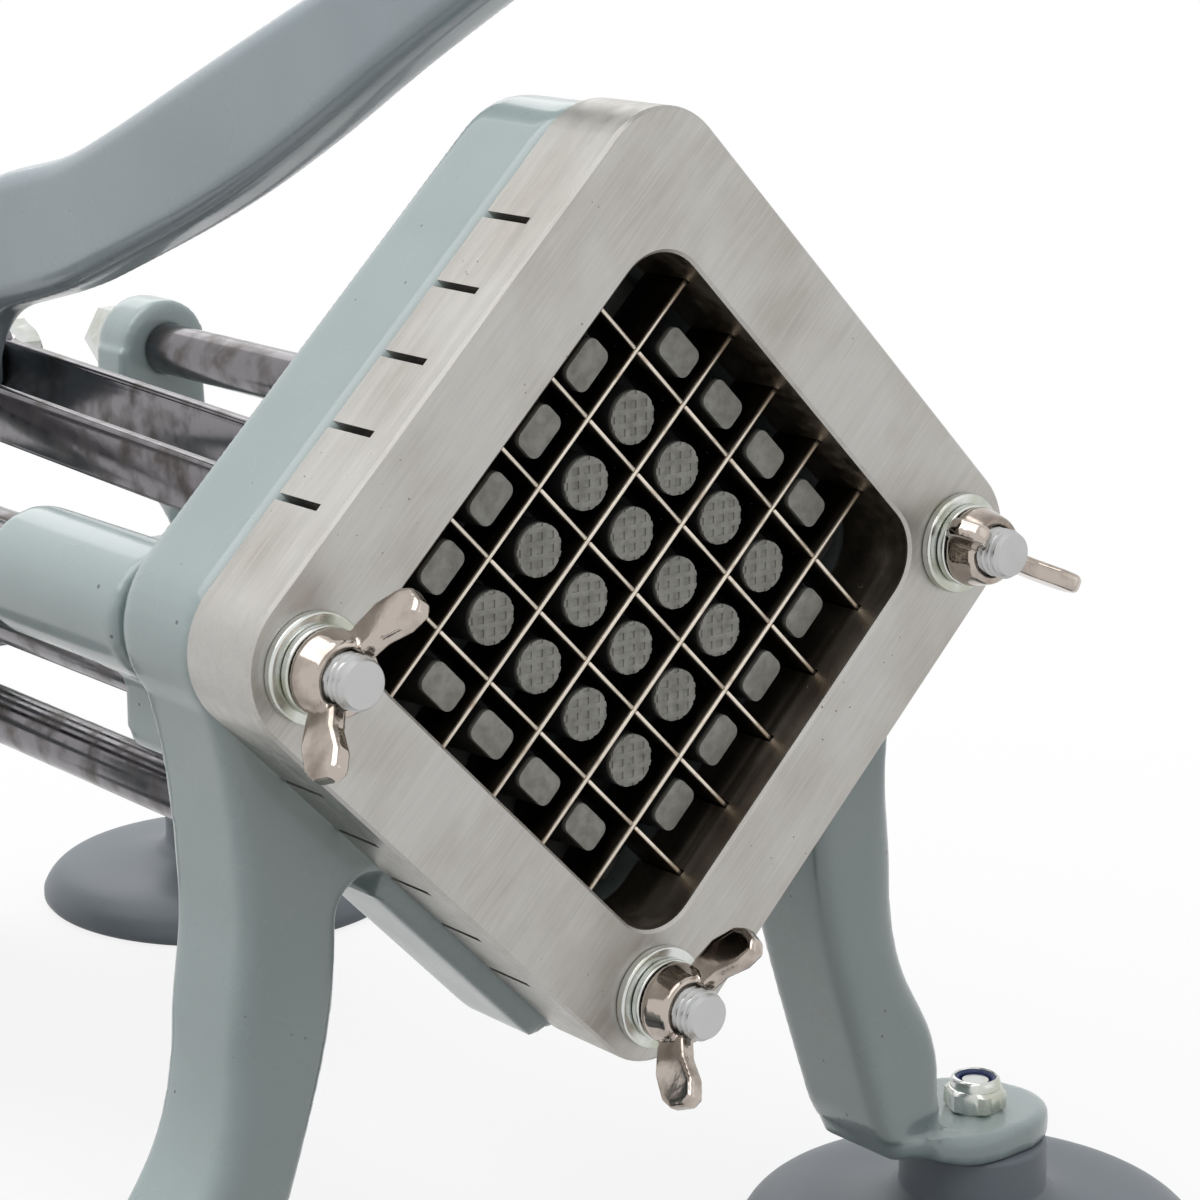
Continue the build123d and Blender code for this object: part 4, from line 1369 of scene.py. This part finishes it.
# ---------------------------------------------------------------- rods and wing nuts
@dataclass
class GuideRod:
    """Chromed guide rod with its flat washer, spring washer and wing nut."""

    shop: Workshop
    name: str
    x: float
    z: float
    wing_body: Body
    wing_angle: float
    rear_shoulder: float
    rear_end: float
    radius: float = 5.5
    stud_radius: float = 4.0
    shoulder: float = 36.0
    reach: float = 12.5
    pitch: float = 1.25
    nut_base: float = -3.72
    press_grid: float = 0.3

    def build(self) -> None:
        """Build the rod and its fastenings."""
        fixed = {
            "rod": (self.rod(), "guide_rod", Slot.CHROME, 38),
            "washer": (self.flat_washer(), "flat_washer", Slot.ZINC, 40),
            "split_ring": (self.spring_washer(), "spring_washer", Slot.ZINC, 40),
        }
        for part, (bm, node, slot, crease) in fixed.items():
            name, nodes = f"{self.name}_{part}", [f"{self.name}_{node}"]
            self.shop.piece(name, self.settle(bm), Body.BASE, slot, nodes, crease)
        self.wing_nut()
        self.shop.dress(f"{self.name}_rod_bush", Slot.BEARING)

    def settle(self, bm: BMesh, turn: float = 0.0) -> BMesh:
        """Move a piece drawn on the Y axis onto the rod's axis."""
        return turned(bm, (0, turn, 0), (self.x, 0, self.z))

    def rod(self) -> BMesh:
        """Ground bar between two threaded ends.

        Returns:
            The bar, drawn on the Y axis.
        """
        front, rear = -self.reach, self.rear_end - 0.8
        stud, edge = self.stud_radius, self.radius - 0.4
        rings = [
            (0, front, 0),
            (stud - 0.62, front, 0),
            (stud - 0.5, front + 0.1, 0),
            *thread_rings(stud, self.pitch, front + 0.5, 2.0, 2.0),
            (stud, self.shoulder, 0),
            (edge, self.shoulder, 0),
            (self.radius, self.shoulder + 0.4, 0),
            (self.radius, self.rear_shoulder - 0.4, 0),
            (edge, self.rear_shoulder, 0),
            (stud, self.rear_shoulder, 0),
            *mirrored(thread_rings(stud, self.pitch, -rear, 12.0 - rear, 3.0)),
            (stud - 0.9, self.rear_end, 0),
            (0, self.rear_end, 0),
        ]
        return lathe(rings, 48, reach=thread_reach(self.pitch))

    def flat_washer(self) -> BMesh:
        """Stamped flat washer with a rolled edge."""
        outline = [(4.2, -0.8), (4.2, -1.6), (8.2, -1.6), (8.2, 0.0), (4.2, 0.0), (4.2, -0.8)]
        return lathe(rounded(outline, 0.45)[:-1], 72, closed=True)

    def spring_washer(self) -> BMesh:
        """Split ring whose ends stand apart.

        Returns:
            The ring, drawn on the Y axis.
        """
        half = 0.75
        outline = [(5.4, -half), (6.6, -half), (6.6, half), (4.3, half), (4.3, -half), (5.4, -half)]
        section = rounded(outline, 0.35, 3)[:-1]
        steps, gap = 80, math.radians(14)
        loops = []
        for step in range(steps + 1):
            share = step / steps
            angle = math.radians(50) + gap / 2 + (2 * math.pi - gap) * share
            lift = -2.6 + 0.36 * (0.5 - share)
            across, up = math.cos(angle), math.sin(angle)
            loops.append([Vector((r * across, lift + along, r * up)) for r, along in section])
        return lofted(loops, capped=True)

    def wing_nut(self) -> None:
        """Pressed wing nut: round hub and two bevelled wings, run together."""
        base = self.nut_base
        outline = [(4.2, 0), (6.5, 0), (6.5, -1.0), (5.6, -4.5), (5.2, -5.0), (4.2, -5.0)]
        hub = lathe([(radius, base + along) for radius, along in outline], 64, closed=True)
        whole = joined([hub, self.wing(1), self.wing(-1)])
        bore = lathe([(0, base - 9), (4.12, base - 9), (4.12, base + 1), (0, base + 1)], 64)
        self.settle(whole, -self.wing_angle)
        self.settle(bore)
        for bm in (whole, bore):
            self.shop.frame.move(bm)
        thing = new_object(f"{self.name}_wing", whole)
        drill = new_object("wing_bore", bore)
        remesh = thing.modifiers.new("press", "REMESH")
        remesh.mode = "VOXEL"
        remesh.voxel_size = self.press_grid * MM
        thing.modifiers.new("flow", "SMOOTH").iterations = 3
        hole = thing.modifiers.new("bore", "BOOLEAN")
        hole.object = drill
        hole.solver = "EXACT"
        applied(thing)
        bpy.data.objects.remove(drill)
        self.shop.place(thing, self.wing_body, Slot.NICKEL, [f"{self.name}_wing_nut"], 60)

    def wing(self, side: int) -> BMesh:
        """One wing, drawn to the right or to the left of the hub.

        Args:
            side: 1 for the right wing, -1 for the left one.

        Returns:
            The bevelled wing.
        """
        outline = [(3.9, -1.0), (7.6, -2.0), (11.4, -3.9), (14.4, -7.2), (14.9, -9.4)]
        outline += [(13.6, -12.4), (11.9, -13.2), (9.2, -11.6), (6.6, -8.2), (3.9, -6.4)]
        half, base = 1.5, self.nut_base
        loops = [[Vector((side * x, base + y, z)) for x, y in outline] for z in (-half, half)]
        bm = lofted(loops, capped=True)
        rim = [edge for edge in bm.edges if edge.verts[0].co.z * edge.verts[1].co.z > 0]
        bmesh.ops.bevel(bm, geom=rim, offset=half / 2, segments=2, affect="EDGES", profile=0.5)
        return bm


# ---------------------------------------------------------------- hexagon fasteners
@dataclass
class CrossBolt:
    """Hexagon bolt from left to right with its nut, M8 where nothing else is said."""

    shop: Workshop
    name: str
    body: Body
    y: float
    z: float
    radius: float = 4.0
    flats: float = 13.0
    head_height: float = 5.3
    nut_height: float = 6.5
    pitch: float = 1.25

    def build(self) -> None:
        """Build the bolt and the nut at their CAD places."""
        bolt_node, nut_node = f"{self.name}_bolt", f"{self.name}_nut"
        corners = (*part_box(bolt_node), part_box(nut_node)[0])
        zero = self.shop.frame.at(0, 0, 0)
        start, end, nut_face = ((corner.x - zero.x) / MM for corner in corners)
        neck, bare_end = start + self.head_height, nut_face - 4
        rings = [
            (0, neck - 0.3, 0),
            (self.radius, neck - 0.3, 0),
            (self.radius, bare_end, 0),
            *mirrored(thread_rings(self.radius, self.pitch, 0.7 - end, -bare_end, 2.0)),
            (self.radius - 0.9, end, 0),
            (0, end, 0),
        ]
        shank = lathe(rings, 36, reach=thread_reach(self.pitch))
        bolt = joined([self.hexagon(start, neck, 0.0, True), shank])
        nut = self.hexagon(nut_face, nut_face + self.nut_height, self.radius + 0.05, False)
        for node, bm in ((bolt_node, bolt), (nut_node, nut)):
            bm.transform(Matrix.Rotation(-math.pi / 2, 4, "Z"))
            bm.transform(Matrix.Translation((0, self.y, self.z)))
            self.shop.piece(f"{node}_detail", bm, self.body, Slot.ZINC, [node], 30)

    def hexagon(self, low: float, high: float, bore: float, washer_face: bool) -> BMesh:
        """Chamfered hexagon along Y.

        Args:
            low: Its start.
            high: Its end.
            bore: Radius of its hole, or zero.
            washer_face: Whether its end has a round washer face.

        Returns:
            The hexagon.
        """
        corner = self.flats / 2 / math.cos(math.pi / 6)
        flat = self.flats / 2 * 0.96
        chamfer = (corner - flat) * 0.58
        outline = [(bore, low), (flat, low), (corner, low + chamfer)]
        if washer_face:
            outline += [(corner, high - 0.4), (flat, high - 0.4), (flat, high), (bore, high)]
        else:
            outline += [(corner, high - chamfer), (flat, high), (bore, high)]
        return lathe(outline, 60, bore > 0, hexagon_reach(self.flats))


# ---------------------------------------------------------------- handle and links
@dataclass
class HandleAndLinks:
    """Cast handle, its pivot, and the two links to the carriage."""

    shop: Workshop
    passes: int = 6
    drop: float = 2.4
    slimmer: float = 0.5

    def build(self) -> None:
        """Build the handle's skin, the links and their bolts."""
        shop, enamel = self.shop, Slot.HANDLE_ENAMEL
        shop.cast_skin("handle_casting", "handle", Body.HANDLE, enamel, self.passes, self.sag)
        for side in ("left", "right"):
            self.link(side)
            shop.dress(f"{side}_tail_rod", Slot.CHROME)
        bolts = (
            CrossBolt(shop, "link_rear", Body.HANDLE, 225.0, 5.3),
            CrossBolt(shop, "link_front", Body.LINKS, 60.0, -1.1),
            CrossBolt(shop, "handle_pivot", Body.BASE, 295.0, -108.0, 5.0, 17.0, 6.4, 8.4, 1.5),
        )
        for bolt in bolts:
            bolt.build()
        shop.dress("handle_pivot_washers", Slot.ZINC)

    def sag(self, place: Vector, normal: Vector) -> Vector:
        """Lower the middle of the lever a little, where its casting bends.

        Args:
            place: Point in cutter millimetres.
            normal: Its normal.

        Returns:
            The move in millimetres.
        """
        share = ramp(place.y, -25, 35) * (1 - ramp(place.y, 160, 195))
        return Vector((0, 0, -self.drop - self.slimmer * normal.z)) * share

    def link(self, side: str) -> None:
        """Flat chromed link with softly broken edges.

        Args:
            side: Left or right.
        """
        bm = merged_copy(f"{side}_link")
        flat = math.radians(1)
        bmesh.ops.dissolve_limit(bm, angle_limit=flat, verts=bm.verts, edges=bm.edges)
        thing = bevelled(new_object(f"{side}_link_bar", bm), 0.7, 3, 50)
        self.shop.place(thing, Body.LINKS, Slot.CHROME, [f"{side}_link"], 40)


# ---------------------------------------------------------------- feet
@dataclass
class Foot:
    """Suction cup under a foot tab; its nut, ring and stud are among the FootNuts."""

    shop: Workshop
    name: str
    x: float
    y: float
    tab_bottom: float = -120.5
    neck: float = 13.5
    neck_height: float = 9.0
    rim: float = 43.0
    rim_height: float = 2.0
    lip: float = 3.5
    wall: float = 4.5
    counter: float = -142.0

    def build(self) -> None:
        """Build the cup."""
        top, neck, rim = self.tab_bottom, self.neck, self.rim
        neck_bottom = top - self.neck_height
        edge, roof = self.counter + self.rim_height, neck_bottom - self.wall
        dome = bend((neck, neck_bottom), (0.8, -0.6), (rim, edge), (0.4, -1))
        hollow = bend((rim - self.lip, self.counter), (-1, 0.55), (0, roof), (-1, 0))
        outline = [
            (0, top),
            (neck - 0.9, top),
            (neck - 0.26, top - 0.26),
            (neck, top - 0.9),
            (neck, neck_bottom + 0.7),
            (neck + 0.2, neck_bottom + 0.2),
            (neck + 0.7, neck_bottom - 0.05),
            *dome[2:],
            (rim, self.counter + 0.6),
            (rim - 0.5, self.counter),
            *hollow,
        ]
        bm = lathe(outline, 128)
        bm.transform(Matrix.Rotation(math.pi / 2, 4, "X"))
        bm.transform(Matrix.Translation((self.x, self.y, 0)))
        name, nodes = f"{self.name}_suction_cup", [f"{self.name}_cup"]
        self.shop.piece(name, bm, Body.BASE, Slot.RUBBER, nodes, 50)


@dataclass
class FootNuts:
    """Zinc lock nuts with blue rings on the cups' studs."""

    shop: Workshop
    places: Sequence[tuple[float, float]]
    seat: float = -115.0
    flats: float = 10.0
    face: float = 4.85
    hex_height: float = 4.2
    height: float = 6.2
    collar: float = 4.6
    ring: float = 3.7
    stud: float = 3.0
    pitch: float = 1.0

    def build(self) -> None:
        """Build the nuts, rings and studs, one piece each for all four feet."""
        corner = self.flats / 2 / math.cos(math.pi / 6)
        bevel = (corner - self.face) * 0.6
        stud, ring, collar = self.stud, self.ring, self.collar
        hex_top, top = self.hex_height, self.height
        nut = [
            (stud + 0.05, 0.0),
            (self.face, 0.0),
            (corner, bevel),
            (corner, hex_top - bevel),
            (self.face, hex_top),
            (collar, hex_top + 0.1),
            (collar, top - 1.0),
            (collar - 0.15, top - 0.45),
            (collar - 0.5, top - 0.1),
            (ring + 0.15, top),
            (ring, top - 0.25),
            (ring, top - 1.6),
            (stud + 0.05, top - 1.6),
        ]
        insert = [
            (stud + 0.02, top - 1.6),
            (ring, top - 1.6),
            (ring, top - 0.35),
            (ring - 0.25, top - 0.2),
            (stud + 0.3, top - 0.3),
            (stud + 0.02, top - 0.6),
        ]
        tip = 0.8 - top
        bar = [
            (0, tip, 0),
            (stud - 0.6, tip, 0),
            *thread_rings(stud, self.pitch, tip + 0.5, 12.5, 2.0),
            (stud, 14.4, 0),
            (0, 14.4, 0),
        ]
        # The nuts and rings are drawn pointing up, and the studs pointing down.
        shapes = {
            "foot_lock_nuts": ((nut, 60, True, hexagon_reach(self.flats)), Slot.ZINC, 90),
            "foot_nut_inserts": ((insert, 48, True), Slot.BLUE, 90),
            "foot_studs": ((bar, 36, False, thread_reach(self.pitch)), Slot.ZINC, -90),
        }
        for node, (turning, slot, tilt) in shapes.items():
            copies = []
            for index, (x, y) in enumerate(self.places):
                bm = lathe(*turning)
                bm.transform(Matrix.Rotation(math.radians(11 + 23 * index), 4, "Y"))
                bm.transform(Matrix.Rotation(math.radians(tilt), 4, "X"))
                bm.transform(Matrix.Translation((x, y, self.seat)))
                copies.append(bm)
            self.shop.piece(f"{node}_detail", joined(copies), Body.BASE, slot, [node], 30)


# ---------------------------------------------------------------- small dressed parts
@dataclass
class SmallParts:
    """CAD nodes whose shape is right and that only need their finish."""

    shop: Workshop

    def build(self) -> None:
        """Dress them."""
        for node in ("push_block_screws", "rear_rod_nuts", "rear_rod_washers"):
            self.shop.dress(node, Slot.ZINC)


# ---------------------------------------------------------------- studio
@dataclass
class Studio:
    """White floor, soft lamps and the camera."""

    frame: CutterFrame
    camera_place: tuple[float, float, float] = (-316.0, -371.5, 120.1)
    azimuth: float = 39.318
    elevation: float = -13.849
    roll: float = 0.262
    focal_share: float = 2.7675
    sensor: float = 36.0
    floor_size: float = 6.0
    floor_drop: float = 0.0004
    floor_colour: str = "f4f4f3"
    floor_shade: str = "8c8c8a"
    dome_low: str = "6c6e72"
    dome_high: str = "f2f4f6"
    dome_strength: float = 0.62

    def build(self) -> None:
        """Set up everything that isn't part of the cutter."""
        self.floor()
        self.lamps()
        self.world()
        self.camera()
        bpy.context.scene.view_settings.view_transform = "Standard"

    def camera(self) -> None:
        """Stand the camera to the front left, a little above the square."""
        data = bpy.data.cameras.new("camera")
        data.sensor_width = self.sensor
        data.lens = self.sensor * self.focal_share
        data.clip_start, data.clip_end = 0.01, 50
        camera = bpy.data.objects.new("camera", data)
        camera.location = self.frame.at(*self.camera_place)
        yaw, pitch = math.radians(self.azimuth), math.radians(self.elevation)
        level = math.cos(pitch)
        ahead = Vector((math.sin(yaw) * level, math.cos(yaw) * level, math.sin(pitch)))
        aim = ahead.to_track_quat("-Z", "Y").to_matrix()
        camera.rotation_euler = (aim @ Matrix.Rotation(math.radians(self.roll), 3, "Z")).to_euler()
        bpy.context.scene.collection.objects.link(camera)
        bpy.context.scene.camera = camera

    def floor(self) -> None:
        """White sweep that shows the background's white and keeps the cutter's shadow."""
        bm = bmesh.new()
        bmesh.ops.create_grid(bm, x_segments=1, y_segments=1, size=self.floor_size)
        floor = new_object("floor", bm)
        floor.location.z = -self.floor_drop
        material = bpy.data.materials.new("floor_paper")
        sketch = Sketch.of(material)
        seen = self.seen_directly(sketch)
        place = sketch.add("TexCoord", output="Object")
        away = sketch.add("VectorMath", {0: place}, "Value", operation="LENGTH")
        # Close to the cutter the paper shows the shadow, and further out it is plain white.
        plain = sketch.add("MapRange", {0: away, 1: 0.12, 2: 0.45, 3: 0.78, 4: 1})
        share = sketch.add("Math", {0: seen, 1: plain}, operation="MULTIPLY")
        colour = blend(sketch, seen, (0, 1), self.floor_shade, self.floor_colour)
        diffuse = sketch.add("BsdfDiffuse", {"Color": colour})
        white = sketch.add("Emission", {"Color": (1, 1, 1, 1), "Strength": 1})
        mixed = sketch.add("MixShader", {0: share, 1: diffuse, 2: white})
        sketch.add("OutputMaterial", {"Surface": mixed})
        floor.data.materials.append(material)

    def seen_directly(self, sketch: Sketch) -> Socket:
        """One for rays from the eye and for those that mirrors and glass send on.

        Args:
            sketch: The tree.

        Returns:
            The share.
        """
        share = sketch.add("LightPath", output="Is Camera Ray")
        rays = share.node.outputs
        for kind in ("Is Glossy Ray", "Is Transmission Ray"):
            share = sketch.add("Math", {0: share, 1: rays[kind]}, operation="MAXIMUM")
        return share

    def lamps(self) -> None:
        """Large soft lamps: one above and to the left, a weaker one in front, one behind."""
        lamps = (
            ("key", (-0.75, 0.1, 1.75), 2.0, 27.0),
            ("front", (0.6, -1.6, 0.7), 1.4, 2.0),
            ("back", (0.7, 1.4, 1.2), 1.2, 4.0),
        )
        aim = self.frame.at(0, 60, 0)
        for name, place, size, power in lamps:
            data = bpy.data.lights.new(name, "AREA")
            data.shape = "SQUARE"
            data.size = size
            data.energy = power
            lamp = bpy.data.objects.new(name, data)
            lamp.location = place
            lamp.rotation_euler = (aim - Vector(place)).to_track_quat("-Z", "Y").to_euler()
            bpy.context.scene.collection.objects.link(lamp)

    def world(self) -> None:
        """White for the eye and for mirrors, and a plain light level for everything else."""
        world = bpy.data.worlds.new("studio")
        bpy.context.scene.world = world
        sketch = Sketch.of(world)
        seen = self.seen_directly(sketch)
        way = sketch.add("TexCoord", output="Generated")
        height = sketch.add("SeparateXYZ", {0: way}, "Z")
        dome = blend(sketch, height, (-0.05, 0.75), self.dome_low, self.dome_high)
        light = sketch.add("Background", {"Color": dome, "Strength": self.dome_strength})
        white = sketch.add("Background", {"Color": (1, 1, 1, 1), "Strength": 1})
        mixed = sketch.add("MixShader", {0: seen, 1: light, 2: white})
        sketch.add("OutputWorld", {"Surface": mixed})


def main() -> None:
    """Build the cutter piece by piece."""
    logging.basicConfig(level=logging.INFO, format="%(message)s")
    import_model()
    frame = CutterFrame.from_square()
    shop = Workshop(frame, make_finishes(frame))
    feet = {
        "front_left": (-97.0, 24.0),
        "front_right": (97.0, 24.0),
        "rear_left": (-100.5, 281.5),
        "rear_right": (100.5, 281.5),
    }
    assemblies = [
        CuttingSquare(shop),
        PushBlock(shop),
        Castings(shop),
        GuideRod(shop, "left", -63.5, 0.0, Body.LEFT_WING, 55.0, 241.0, 265.1),
        GuideRod(shop, "right", 63.5, 0.0, Body.RIGHT_WING, -27.0, 241.0, 265.1),
        GuideRod(shop, "bottom", 0.0, -63.5, Body.BOTTOM_WING, 60.0, 238.0, 260.1),
        HandleAndLinks(shop),
        *(Foot(shop, name, *place) for name, place in feet.items()),
        FootNuts(shop, list(feet.values())),
        SmallParts(shop),
        Studio(frame),
    ]
    for assembly in assemblies:
        assembly.build()


if __name__ == "__main__":
    main()
